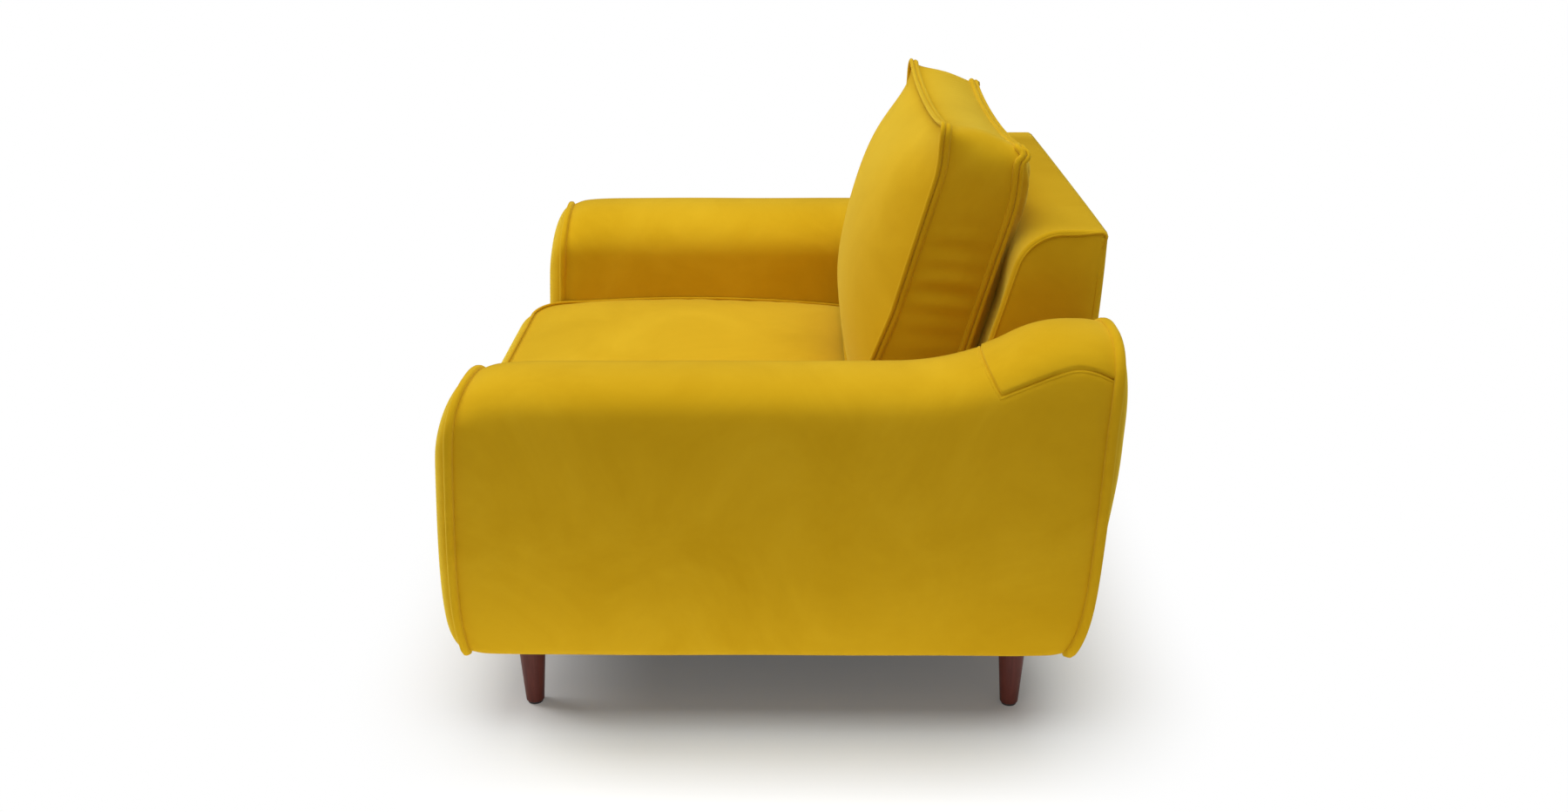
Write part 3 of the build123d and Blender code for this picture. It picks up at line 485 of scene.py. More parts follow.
class Surface:
    """A procedural material built round one shader."""

    def __init__(self, name):
        self.material = bpy.data.materials.new(name)
        self.material.use_nodes = True
        self.tree = self.material.node_tree
        self.shader = self.tree.nodes["Principled BSDF"]
        self.place = self.add("TexCoord").outputs["Object"]

    def feed(self, socket, value):
        """Sets a socket, or links an output to it."""
        if isinstance(value, bpy.types.NodeSocket):
            self.tree.links.new(value, socket)
        else:
            socket.default_value = value

    def add(self, kind, **values):
        """A node with its inputs and other settings."""
        node = self.tree.nodes.new("ShaderNode" + kind)
        for key, value in values.items():
            if key in node.inputs:
                self.feed(node.inputs[key], value)
            else:
                setattr(node, key, value)
        return node

    def work(self, kind, operation, *sources):
        """A maths node over sources in order."""
        node = self.add(kind, operation=operation)
        for socket, source in zip(node.inputs, sources):
            self.feed(socket, source)
        return node

    def noise(self, scale, detail, roughness, distortion=0.0, place=None):
        """An uneven field over the object."""
        values = {"Scale": scale, "Detail": detail, "Roughness": roughness, "Distortion": distortion}
        vector = self.place if place is None else place
        return self.add("TexNoise", Vector=vector, **values).outputs["Fac"]

    def colour(self, field, *stops):
        """Colours by a field, through (position, colour) stops."""
        node = self.add("ValToRGB", Fac=field)
        elements = node.color_ramp.elements
        while len(elements) < len(stops):
            elements.new(1)
        for element, (position, colour) in zip(elements, stops):
            element.position = position
            element.color = (*colour, 1)
        self.feed(self.shader.inputs["Base Color"], node.outputs["Color"])

    def roughen(self, field, low, high):
        """Spreads the roughness by a field."""
        node = self.add("MapRange", Value=field, **{"To Min": low, "To Max": high})
        self.feed(self.shader.inputs["Roughness"], node.outputs["Result"])

    def emboss(self, field, strength, distance):
        """Raises by a field, on top of what was raised before."""
        node = self.add("Bump", Height=field, Strength=strength, Distance=distance)
        normal = self.shader.inputs["Normal"]
        if normal.is_linked:
            self.feed(node.inputs["Normal"], normal.links[0].from_socket)
        self.feed(normal, node.outputs["Normal"])

    def finish(self, **values):
        """The material, with the shader's other inputs set."""
        for key, value in values.items():
            self.feed(self.shader.inputs[key], value)
        return self.material


def velvet():
    """Mustard velvet with soft nap marks and a golden sheen."""
    surface = Surface("velvet")
    surface.colour(
        surface.noise(4.5, 5.0, 0.62, 0.7),
        (0.30, (0.585, 0.330, 0.0077)),
        (0.52, (0.632, 0.367, 0.0108)),
        (0.74, (0.679, 0.406, 0.0150)),
    )
    pile = surface.noise(1400.0, 2.0, 0.6)
    brushed = surface.noise(55.0, 3.0, 0.55, 0.4)
    surface.emboss(pile, 0.22, 0.0006)
    surface.emboss(brushed, 0.10, 0.0012)
    surface.roughen(brushed, 0.78, 0.95)
    sheen = {"Sheen Weight": 0.75, "Sheen Roughness": 0.40, "Sheen Tint": (1.0, 0.84, 0.14, 1)}
    return surface.finish(**{"Specular IOR Level": 0.0}, **sheen)


def wood(name, dark, light, scale, roughness, coat):
    """Wood with grain along Z, stained and lacquered."""
    surface = Surface(name)
    stretch = surface.add("Mapping", Vector=surface.place, Scale=(scale, scale, scale * 0.09))
    stretched = stretch.outputs["Vector"]
    grain = surface.noise(1.0, 7.0, 0.64, 1.6, stretched)
    pores = surface.noise(4.2, 4.0, 0.7, 0.0, stretched)
    middle = [(d + l) / 2 for d, l in zip(dark, light)]
    surface.colour(grain, (0.28, dark), (0.50, middle), (0.74, light))
    surface.emboss(pores, 0.16, 0.0008)
    surface.roughen(grain, roughness - 0.06, roughness + 0.10)
    return surface.finish(**{"Specular IOR Level": 0.3, "Coat Weight": coat, "Coat Roughness": 0.28})


def speckled(name, dark, light, scale, roughness, metallic=0.0, strength=0.3, depth=0.0008):
    """Foam, felt, board, moulded plastic or cast metal."""
    surface = Surface(name)
    speckle = surface.noise(scale, 4.0, 0.6)
    surface.colour(speckle, (0.32, dark), (0.68, light))
    surface.roughen(speckle, roughness - 0.07, min(roughness + 0.07, 1.0))
    surface.emboss(speckle, strength, depth)
    return surface.finish(Metallic=metallic)


def woven(name, dark, light, threads, roughness):
    """Coarse woven cloth with crossing threads."""
    surface = Surface(name)
    threading = {"Vector": surface.place, "Scale": threads, "Distortion": 0.6, "Detail": 1.0}
    warp, weft = (
        surface.add("TexWave", bands_direction=axis, **threading).outputs["Fac"] for axis in "XY"
    )
    weave = surface.work("Math", "MULTIPLY", warp, weft).outputs["Value"]
    surface.colour(weave, (0.1, dark), (0.8, light))
    surface.emboss(weave, 0.4, 0.0005)
    return surface.finish(Roughness=roughness)


# Each slot's maker, dark and light colours, scale, roughness and then its coat, or its metal and relief
slot_looks = {
    "leg_wood": (wood, (0.060, 0.0092, 0.0054), (0.130, 0.0255, 0.0155), 60.0, 0.44, 0.03),
    "frame_wood": (wood, (0.46, 0.29, 0.15), (0.66, 0.46, 0.27), 34.0, 0.66, 0.0),
    "foam": (speckled, (0.72, 0.66, 0.46), (0.80, 0.75, 0.56), 420.0, 0.93),
    "steel": (speckled, (0.42, 0.42, 0.43), (0.56, 0.56, 0.57), 260.0, 0.34, 1.0, 0.08, 0.0003),
    "webbing": (woven, (0.020, 0.020, 0.022), (0.075, 0.075, 0.080), 320.0, 0.82),
    "deck_felt": (speckled, (0.055, 0.052, 0.050), (0.105, 0.100, 0.095), 520.0, 0.95),
    "dust_cloth": (woven, (0.012, 0.012, 0.013), (0.045, 0.045, 0.047), 260.0, 0.90),
    "back_board": (speckled, (0.24, 0.15, 0.085), (0.33, 0.22, 0.13), 240.0, 0.80),
    "glide_plastic": (speckled, (0.010, 0.009, 0.009), (0.022, 0.020, 0.020), 300.0, 0.45),
    "zip_tape": (woven, (0.42, 0.25, 0.006), (0.56, 0.36, 0.012), 700.0, 0.85),
    "zip_metal": (speckled, (0.50, 0.40, 0.22), (0.62, 0.52, 0.30), 500.0, 0.32, 1.0, 0.06, 0.0002),
}
slot_materials = {"velvet": velvet()}
for slot_name, (make, *looks) in slot_looks.items():
    slot_materials[slot_name] = make(slot_name, *looks)
for subpart in frame["record"]["subparts"]:
    node = nodes[subpart["node"]]
    node.data.materials.clear()
    node.data.materials.append(slot_materials[subpart["material_slot"]])


# Arms

sides = (("right", 1), ("left", -1))
rise_bend = 2 * atan(arm_rise / (rise_dip + rise_crest))
dip_radius = rise_dip / sin(rise_bend)
crest_radius = rise_crest / sin(rise_bend)


def mirrored(points, sign):
    """Points of the right side, or their mirror image on the left."""
    return points * np.array([sign, 1, 1])


def front_seam(x, z):
    """The front welt's line, as y: rolled back at the foot and on the inside."""
    lean = front_lean * (z - front_seam_level) + front_slant * (arm_outer - x) / (arm_outer - arm_inner)
    return front_seam_y + lean + faded(*front_foot_bend, z) + faded(*front_head_bend, z)


def rear_seam(x, z):
    """The rear welt's line, as y: rolled in at the foot."""
    z = z + 0 * x
    below = (rear_knee - z + np.hypot(rear_knee - z, rear_knee_softness)) / 2
    above = np.maximum(z - rear_knee, 0)
    return rear_seam_y - rear_lean * below - faded(*rear_foot_bend, z) + rear_flare * above**2


def front_droop(distance):
    """How far the arm's top sinks towards its front seam."""
    return faded(*near_droop_bend, distance) + faded(*far_droop_bend, distance)


def arm_lift(y):
    """How far the arm's top line stands above its level front part."""
    run = np.clip(y - rise_start, 0, rise_dip + rise_crest)
    left = rise_dip + rise_crest - run
    dip = dip_radius - np.sqrt(dip_radius**2 - np.minimum(run, rise_dip) ** 2)
    crest = arm_rise - crest_radius + np.sqrt(crest_radius**2 - np.minimum(left, rise_crest) ** 2)
    return np.where(run < rise_dip, dip, crest)


def arm_shares(plain_z):
    """How far a height on the level arm takes part in the rise and in the droop."""
    shoulder = arm_top - arm_shoulder
    return smooth(arm_lift_low, shoulder, plain_z), smooth(shoulder, arm_top - droop_below_top, plain_z)


def arm_over(angle):
    """(x, drop) over the rounded top, from angle 0 outside to pi inside."""
    turn = np.cos(angle)
    power = np.where(turn > 0, 2 / arm_outer_roundness, 2 / arm_inner_roundness)
    reach = arm_half - arm_crest_shift * np.sign(turn)
    x = arm_middle + arm_crest_shift + reach * np.sign(turn) * np.abs(turn) ** power
    drop = arm_shoulder * (1 - np.abs(np.sin(angle)) ** power)
    return x, drop


def arm_section():
    """Points (x, z) from the right arm's outer foot over its top to its inner foot."""
    roll = arc(arm_outer - arm_foot_roll, arm_foot + arm_foot_roll, arm_foot_roll, pi, pi / 2, 7)
    x, drop = arm_over(np.linspace(0, pi, 80))
    over = np.stack([x, arm_top - drop], axis=1)
    outer_foot, inner_foot = (arm_outer - arm_foot_tuck, arm_foot), (arm_inner, arm_foot)
    return even([outer_foot, *roll, *over, inner_foot], grid_step)


def arm_place(x, plain_z, share):
    """Points at a share of the way from the front seam to the rear seam."""
    lifted, sinks = arm_shares(plain_z)
    z = plain_z + 0 * share
    for _ in range(8):
        front, rear = front_seam(x, z), rear_seam(x, z)
        y = front + (rear - front) * share
        z = plain_z + arm_lift(y) * lifted - sinks * front_droop(np.maximum(y - front, 0))
    return grid(x, y, z)


def arm_swell(points):
    """How far the padding stands out from the plain arm."""
    x, y, z = points[..., 0], points[..., 1], points[..., 2]
    from_front = y - front_seam(x, z)
    from_rear = rear_seam(x, z) - y
    seams = bump(from_front, 0, seam_dip_width) + bump(from_rear, 0, seam_dip_width)
    ends = smooth(*padding_end_band, from_front) * smooth(*padding_end_band, from_rear)
    outer = smooth(arm_middle + outer_from_middle, arm_outer - outer_from_side, x)
    level = z - arm_lift(y) - arm_top
    side = swollen(*side_swell, z) + swollen(*under_roll, level)
    top = smooth(-top_swell_depth, 0, level)
    return ends * (outer * side + cloth_wave * (outer + top) * ripple(y, z + x)) - seam_dip * seams


def padded_out(points, more):
    """Points of the arm pushed out by its padding and by more, and points inside the arm."""
    inside = grid(arm_middle, points[..., 1], np.minimum(points[..., 2], arm_heart_z))
    normals, _ = grid_normals(points, inside)
    return points + normals * (arm_swell(points) + more)[..., None], inside


def patch_edge(y):
    """The height of the patch's lower seam."""
    return patch_peak_z + patch_bend - np.hypot(patch_bend, patch_slope * (y - patch_peak_y))


def patch_area(points):
    """How far inside the patch's seams a point of the arm lies."""
    y, z = points[..., 1], points[..., 2]
    drop = arm_top + arm_lift(y) - z
    behind = y - patch_front_y - patch_front_slope * drop
    return np.minimum(behind, z - patch_edge(y))


def arm_cover_points():
    """The right arm's long cover, up its outside, over its top and down its inside."""
    section = arm_section()
    length = rear_seam(arm_outer, rear_knee) - front_seam(arm_outer, rear_knee)
    line = np.linspace(0, 1, int(length / grid_step))
    share = 0.65 * line + 0.35 * (0.5 - 0.5 * np.cos(pi * line))
    points = arm_place(section[:, :1], section[:, 1:], share[None, :])
    return padded_out(points, stepped(*patch_bed, patch_area(points)))


def arm_patch_points():
    """The sewn patch over the right arm's raised rear end."""
    low_edge = np.linspace(0, 0.05, 16)
    u = np.concatenate([low_edge, np.linspace(0.05, 0.95, 52)[1:-1], 1 - low_edge[::-1]])[:, None]
    v = np.concatenate([np.linspace(0, 0.09, 18), np.linspace(0.09, 1, 28)[1:]])[None, :]
    y = patch_front_y + (patch_rear_guess - patch_front_y) * v + 0 * u
    for _ in range(16):
        top = arm_top + arm_lift(y)
        level = np.clip((patch_edge(y) - patch_lip - top + arm_shoulder) / arm_shoulder, 0, 1)
        start = np.arcsin(level ** (arm_outer_roundness / 2))
        stop = pi - np.arcsin(level ** (arm_inner_roundness / 2))
        x, drop = arm_over(start + (stop - start) * u)
        front = patch_front_y + patch_front_slope * drop - patch_lip
        z = top - drop
        y = front + (rear_seam(x, z) - front) * v
    points = grid(x, y, z)
    area = patch_area(points)
    raised = patch_lift + stepped(*patch_proud, area) + swollen(*patch_groove, area)
    return padded_out(points, raised + stepped(*patch_tuck, area))


def arm_welt_path(seam, droop):
    """The welt's line round an arm's end, and the outward directions along it."""
    section = arm_section()[int(arm_foot_tuck / grid_step) - 1 :]
    lifted, sinks = arm_shares(section[:, 1])
    x, plain_z = section.T
    z = plain_z + lifted * arm_lift(seam(x, plain_z)) - sinks * droop
    path = np.stack([x, seam(x, z), z], axis=1)
    along = np.gradient(path[:, [0, 2]], axis=0)
    outward = unit(np.stack([along[:, 1], 0 * z, -along[:, 0]], axis=1))
    return path, outward


def arm_welt_points(seam, droop, half_width, inner_band):
    """Rings round a welt that lies level with the arm low on its inside."""
    path, outward = arm_welt_path(seam, droop)
    inner = 1 - smooth(arm_inner + welt_inner_margin, arm_middle, path[:, 0])
    level = inner * (1 - smooth(*inner_band, path[:, 2]))
    proud = welt_proud * (1 - level) - welt_sunk * level
    middle = path + outward * (proud - welt_half_height)[:, None]
    return tube_points(middle, outward, half_width, welt_half_height, False, welt_flatness)


def domed_panel(outline, middle, seam, bulge, low_share):
    """Rings of a padded end panel, flatter low down, with a flat back."""
    share = np.sin(np.linspace(panel_start, 1, 26) * pi / 2)
    rings = []
    for r in share:
        x, z = (middle + (outline - middle) * r).T
        full = low_share + (1 - low_share) * smooth(*panel_full_band, z)
        rings.append(grid(x, seam(x, z) + bulge * full * (1 - r**5) ** 0.6, z))
    for r in share[::-4]:
        x, z = (middle + (outline - middle) * r).T
        rings.append(grid(x, seam(x, z) - np.copysign(panel_depth, bulge), z))
    return np.array(rings)


def end_outline(seam, droop):
    """The right arm's outline (x, z) at one end, just inside its welt."""
    path, outward = arm_welt_path(seam, droop)
    inset = path - outward * panel_inset
    return even(inset[:, [0, 2]], grid_step * 1.3, closed=True)


def build_arm(side, sign):
    """Every soft piece of one arm."""
    cover, inside = arm_cover_points()
    piece = thick_sheet(f"velvet_arm_cover_{side}", mirrored(cover, sign), mirrored(inside, sign))
    dress(piece, "frame", "velvet", f"arm_cover_{side}", f"arm_foam_{side}", fill=0.95)
    patch, inside = arm_patch_points()
    piece = thick_sheet(f"velvet_arm_top_patch_{side}", mirrored(patch, sign), mirrored(inside, sign))
    dress(piece, "frame", "velvet", f"arm_top_patch_{side}")
    rear_level_band = [arm_crest - drop for drop in rear_level_drops]
    ends = (
        ("front", front_seam, front_droop(0), front_welt_half_width, front_level_band, -front_bulge, 1.0),
        ("rear", rear_seam, 0, rear_welt_half_width, rear_level_band, rear_bulge, rear_low_share),
    )
    for end, seam, droop, half_width, inner_band, bulge, low_share in ends:
        rings = arm_welt_points(seam, droop, half_width, inner_band)
        piece = tubes(f"velvet_arm_{end}_welt_{side}", [(mirrored(rings, sign)[::sign], False)])
        dress(piece, "frame", "velvet", f"arm_{end}_welt_{side}")
        outline = end_outline(seam, droop)
        middle = np.array([arm_middle, (outline[:, 1].min() + outline[:, 1].max()) / 2])
        rings = mirrored(domed_panel(outline, middle, seam, bulge, low_share), sign)
        piece = closed_rings(f"velvet_arm_{end}_panel_{side}", rings, flip=(sign > 0) == (bulge > 0))
        dress(piece, "frame", "velvet", f"arm_{end}_panel_{side}", fill=0.9)


for arm_side, arm_sign in sides:
    build_arm(arm_side, arm_sign)


# Back

rake_slope = sin(back_rake) / cos(back_rake)
back_rear = bow((outside_foot_y, foot_height), outside_middle, (back_rear_top, back_top))
back_cover_half = back_half - back_end_gap
back_inside = np.array([0, back_rear_top - 0.06, arm_heart_z])


def back_face(z):
    """The raked front of the back, as y for a height."""
    return back_low_corner.y + (z - back_low_corner.z) * rake_slope


def back_profile():
    """Points (y, z) up the raked front, round the brow and over the rear edge."""
    reach = back_brow_radius * (1 - sin(back_rake)) / cos(back_rake)
    brow_y = back_face(back_top) + back_sunk + reach
    brow = arc(brow_y, back_top - back_brow_radius, back_brow_radius, back_rake - pi / 2, 0, 16)
    edge_y, edge_z = back_rear_top - back_edge_radius, back_top - back_edge_radius
    edge = arc(edge_y, edge_z, back_edge_radius, 0, pi / 2, 7)
    foot = (back_face(back_low_corner.z) + back_sunk, back_low_corner.z)
    return even([foot, *brow, *edge], grid_step)


back_line = back_profile()
back_along = np.gradient(back_line, axis=0)
back_out = unit(np.stack([-back_along[:, 1], back_along[:, 0]], axis=1))
back_roll_share = 1 - 0.5 * smooth(*back_end_roll_drops, back_rear_top - back_line[:, :1])
back_seam = back_line - back_out * back_end_roll * back_roll_share


def round_ends(radius, count):
    """Places across the back, and how far its round ends turn them in."""
    turn = np.linspace(0, pi / 2, 10)
    end_x = back_cover_half - radius + radius * np.sin(turn)
    end_in = radius * (1 - np.cos(turn))
    middle_x = np.linspace(radius - back_cover_half, back_cover_half - radius, count)[1:-1]
    x = np.concatenate([-end_x[::-1], middle_x, end_x])
    return x, np.concatenate([end_in[::-1], 0 * middle_x, end_in])


def build_back_cover():
    """The cover over the back's front and top, dented behind the back cushion."""
    x, turned_in = round_ends(back_end_roll, 84)
    depth, height = back_line[:, :1], back_line[:, 1:]
    across = np.abs(x)
    wave = back_wave * ripple(x * 1.4, height * 2)
    wave = wave * smooth(back_cover_half, back_cover_half - back_wave_end, across)
    wave = wave * smooth(*back_wave_drops, back_rear_top - depth)
    dent = back_dent * smooth(*dent_side_band, across) * smooth(*dent_top_band, height)
    dent = dent * smooth(*dent_foot_band, height)
    swell = back_crown * (1 - (across / back_cover_half) ** 3)
    out = swell + wave - dent - turned_in * back_roll_share
    cover = grid(x, depth + back_out[:, :1] * out, height + back_out[:, 1:] * out)
    piece = thick_sheet("velvet_back_cover", cover, back_inside)
    dress(piece, "frame", "velvet", "back_cover", "back_foam", fill=0.95)


def build_back_welts():
    """Thin welts round the back's ends, turned down at the rear."""
    y, z = np.concatenate([back_seam, back_seam[-1] - np.array(back_welt_tail)]).T
    welts = []
    for _, sign in sides:
        path = grid(sign * (back_half - back_welt_inset), y, z)
        out = np.array([sign, 0, 0]) + 0 * path
        welts.append((tube_points(path, out, back_welt_radius, back_welt_radius, False), False))
    dress(tubes("velvet_back_welts", welts), "frame", "velvet", "back_welts")


def build_back_end(side, sign):
    """The flat panel at one end of the back."""
    rear_z = np.linspace(back_top - back_edge_radius, back_low_corner.z, 50)[1:]
    outline = np.concatenate([back_seam, np.stack([back_rear(rear_z), rear_z], axis=1)])
    lower = smooth(*end_panel_inset_drops, back_top - outline[:, 1])
    inset = end_panel_inset + end_panel_low_inset * lower
    outline[:, 0] = np.minimum(outline[:, 0], back_rear(outline[:, 1]) - inset)
    outline = even(outline, grid_step * 1.2, closed=True)
    middle = outline.mean(0)
    rings = []
    for r in np.sin(np.linspace(panel_start, 1, 22) * pi / 2):
        y, z = (middle + (outline - middle) * r).T
        above = smooth(*end_panel_swell_rises, z - arm_crest)
        rings.append(grid(back_half - end_panel_edge * r**10 + end_panel_swell * above * (1 - r**6), y, z))
    for r in (1.0, 0.7, 0.3, 0.05):
        y, z = (middle + (outline - middle) * r).T
        rings.append(grid(back_half - end_panel_depth, y, z))
    piece = closed_rings(f"velvet_back_end_panel_{side}", mirrored(np.array(rings), sign), flip=sign > 0)
    dress(piece, "frame", "velvet", f"back_end_panel_{side}")


def build_outside_back():
    """The cover over the rear, turned in at its sides."""
    x, turned_in = round_ends(back_corner_radius, 76)
    tuck = back_corner_radius + back_corner_tuck
    x = np.concatenate([[-back_cover_half], x, [back_cover_half]])
    turned_in = np.concatenate([[tuck], turned_in, [tuck]])
    up = np.linspace(0, 1, 64)[:, None]
    z = arm_foot + (back_top - back_edge_radius - arm_foot) * up
    full = (1 - (x / back_cover_half) ** 4) * np.sin(pi * up)
    swell = full * (outside_swell + cloth_wave * ripple(x * 1.7, z * 1.7))
    piece = thick_sheet("velvet_outside_back", grid(x, back_rear(z) + swell - turned_in, z), back_inside)
    dress(piece, "frame", "velvet", "outside_back", fill=0.9)


build_back_cover()
build_back_welts()
for end_side, end_sign in sides:
    build_back_end(end_side, end_sign)
build_outside_back()


# Front border under the seat cushion


def build_border():
    """The padded strip below the seat's front edge."""
    middle_y, middle_z = border_low.y + border_radius, border_high.z - border_radius
    roll = arc(middle_y, middle_z, border_radius, -pi / 2, 0, 8)
    profile = even([(border_low.y, arm_foot), *roll, (border_high.y, border_high.z)], grid_step * 0.8)
    x = np.linspace(border_low.x, border_high.x, 110)
    depth, height = profile[:, :1], profile[:, 1:]
    swell = swollen(*border_swell, height) + border_wave * ripple(x * 2.2, height * 3)
    y = depth - swell * smooth(border_low.y + border_swell_depth, border_low.y, depth)
    piece = thick_sheet("velvet_border_cover", grid(x, y, height), (0, border_high.y, arm_foot))
    dress(piece, "frame", "velvet", "border_cover", "border_foam", fill=0.9)


build_border()


# Loose cushions


def rounded_plan(across, along, half_x, low_y, high_y, low_radius, high_radius):
    """A grid (x, y, ring) over a rectangle with round corners; ring is 1 at its edge."""
    u = np.linspace(-1, 1, across)[:, None] + np.zeros((1, along))
    v = np.linspace(-1, 1, along)[None, :] + np.zeros((across, 1))
    ring = np.maximum(np.abs(u), np.abs(v))
    half_y = (high_y - low_y) / 2
    radius = np.where(v < 0, low_radius, high_radius)
    on_side = np.abs(u) >= np.abs(v)
    along_edge = np.where(on_side, np.abs(v), np.abs(u)) / np.maximum(ring, 1e-9)
    start = np.where(on_side, 1 - radius / half_y, 1 - radius / half_x)
    into = np.clip((along_edge - start) / (1 - start), 0, 1) * pi / 4
    angle = np.where(on_side, into, pi / 2 - into)
    straight = along_edge < start
    corner_x = half_x - radius + radius * np.cos(angle)
    corner_y = half_y - radius + radius * np.sin(angle)
    x = np.where(straight, np.where(on_side, half_x, along_edge * half_x), corner_x)
    y = np.where(straight, np.where(on_side, along_edge * half_y, half_y), corner_y)
    x = np.sign(u) * x * ring
    y = np.sign(v) * y * ring + (low_y + high_y) / 2
    return x, y, ring


def rim(index):
    """The point numbers round the edge of a grid, in order."""
    return np.concatenate([index[:-1, 0], index[-1, :-1], index[:0:-1, -1], index[0, :0:-1]])


def boxed_cushion(name, top, bottom, bulge):
    """A closed cushion of two panels and a boxing strip that bulge(line, share across) pushes out."""
    size = top.shape[0] * top.shape[1]
    top_index = np.arange(size).reshape(top.shape[:2])
    bottom_index = top_index + size
    top_rim, bottom_rim = rim(top_index), rim(bottom_index)
    points = np.concatenate([top.reshape(-1, 3), bottom.reshape(-1, 3)])
    strip = [top_rim]
    extra = []
    for row in range(1, boxing_rows):
        share = row / boxing_rows
        line = points[top_rim] * (1 - share) + points[bottom_rim] * share
        extra.append(line + bulge(line, share))
        strip.append(2 * size + (row - 1) * len(top_rim) + np.arange(len(top_rim)))
    strip.append(bottom_rim)
    points = np.concatenate([points, *extra])
    normals = np.cross(np.gradient(top, axis=0), np.gradient(top, axis=1)).mean((0, 1))
    flip = np.dot(normals, top.mean((0, 1)) - bottom.mean((0, 1))) < 0
    faces = quads(top_index, flip) + quads(bottom_index, not flip)
    faces += quads(np.array(strip), flip, closed=True)
    return mesh_piece(name, points, faces), top_rim, bottom_rim


def piece_points(piece):
    """A piece's points as an array."""
    flat = np.empty(len(piece.data.vertices) * 3)
    piece.data.vertices.foreach_get("co", flat)
    return flat.reshape(-1, 3)


def set_points(piece, points):
    """Moves a piece's points."""
    piece.data.vertices.foreach_set("co", points.ravel())
    piece.data.update()


cloth_settings = {
    "vertex_group_mass": "sewn",
    "quality": 6,
    "mass": 0.3,
    "tension_stiffness": 12,
    "compression_stiffness": 12,
    "shear_stiffness": 4,
    "bending_stiffness": 0.4,
    "use_pressure": True,
    "uniform_pressure_force": cushion_pressure,
}
cloth_frames = 20


def puff(piece, held, cap):
    """Fills a cushion as cloth, its sewn points held, each point moved by no more than cap."""
    before = piece_points(piece)
    group = piece.vertex_groups.new(name="sewn")
    group.add(np.unique(held).tolist(), 1.0, "REPLACE")
    cloth = piece.modifiers.new("filling", "CLOTH")
    for name, value in cloth_settings.items():
        setattr(cloth.settings, name, value)
    cloth.settings.effector_weights.gravity = 0
    cloth.point_cache.frame_start = 1
    cloth.point_cache.frame_end = cloth_frames
    for step in range(1, cloth_frames + 1):
        scene.frame_set(step)
    filled = piece.evaluated_get(bpy.context.evaluated_depsgraph_get())
    moved = piece_points(filled) - before
    reach = np.linalg.norm(moved, axis=1, keepdims=True)
    piece.modifiers.remove(cloth)
    scene.frame_set(1)
    set_points(piece, before + moved * np.minimum(1, cap / np.maximum(reach, 1e-9)))


def finish_cushion(body, piece, welts, fill):
    """Rounds a cushion with one subdivision, and dresses it and its welts."""
    rounder = piece.modifiers.new("rounder", "SUBSURF")
    rounder.levels = 1
    rounder.render_levels = 1
    dress(piece, body, "velvet", f"{body}_cover", f"{body}_core", fill=fill)
    dress(welts, body, "velvet", f"{body}_welts")


def twin_welt(line, outward, away, radius, proud):
    """Two parallel beads along a closed seam, with a groove between them."""
    beads = []
    for step, size in ((0.90, 0.9), (-1.25, 1.3)):
        path = line + outward * (proud - size * radius) + away * step * radius
        beads.append((tube_points(path, outward, radius * size, radius * size, True), True))
    return beads


def loop_outward(line, across):
    """Directions out of a closed line, in the plane across a direction."""
    along = unit(np.roll(line, -2, axis=0) - np.roll(line, 2, axis=0))
    outward = unit(np.cross(along, across))
    if np.sum(outward * (line - line.mean(0))) < 0:
        outward = -outward
    return outward


def sit_on(points, support, clearance):
    """Raises the points that would lie below a support's top."""
    dressed = support.evaluated_get(bpy.context.evaluated_depsgraph_get()).data
    tree = BVHTree.FromPolygons([v.co for v in dressed.vertices], [p.vertices for p in dressed.polygons])
    raised = points.copy()
    for number in np.nonzero(points[:, 2] < pillow_foot_zone)[0]:
        x, y, z = points[number]
        hit = tree.ray_cast(Vector((x, y, 1.0)), Vector((0, 0, -1)))[0]
        if hit is not None and z < hit.z + clearance:
            raised[number, 2] = hit.z + clearance
    return raised


# Seat cushion

up = np.array([0.0, 0.0, 1.0])


def seat_edge(y):
    """The height of the seat cushion's upper seam along its sides."""
    return seat_edge_peak_z - seat_edge_fall * (y - seat_edge_peak_y) ** 2


def seat_bulge(line, share):
    """How the seat's boxing stands out, full at the front."""
    front = smooth(*seat_front_bulge_runs, line[:, 1] - seat_front_seam)
    size = seat_front_bulge * front + seat_side_bulge * (1 - front)
    return loop_outward(line, up) * (size * (4 * share * (1 - share)) ** 0.5)[:, None]


def seat_fitted(points):
    """The seat's points kept off the arms and the back, with a bed for the zip."""
    fitted = points.copy()
    room = arm_inner - seat_side_gap + stepped(*seat_ear, points[:, 1])
    fitted[:, 0] = np.clip(points[:, 0], -room, room)
    fitted[:, 1] = np.clip(points[:, 1], seat_front - seat_front_reach, seat_rear + seat_rear_reach)
    x, y, z = fitted.T
    at_zip = smooth(*zip_bed_band, np.abs(z - seat_zip_z)) * (y > seat_rear - seat_rear_reach)
    at_zip = at_zip * smooth(*zip_bed_ends, np.abs(x) - zip_half)
    fitted[:, 1] = y + (seat_zip_low.y - y) * at_zip
    return fitted


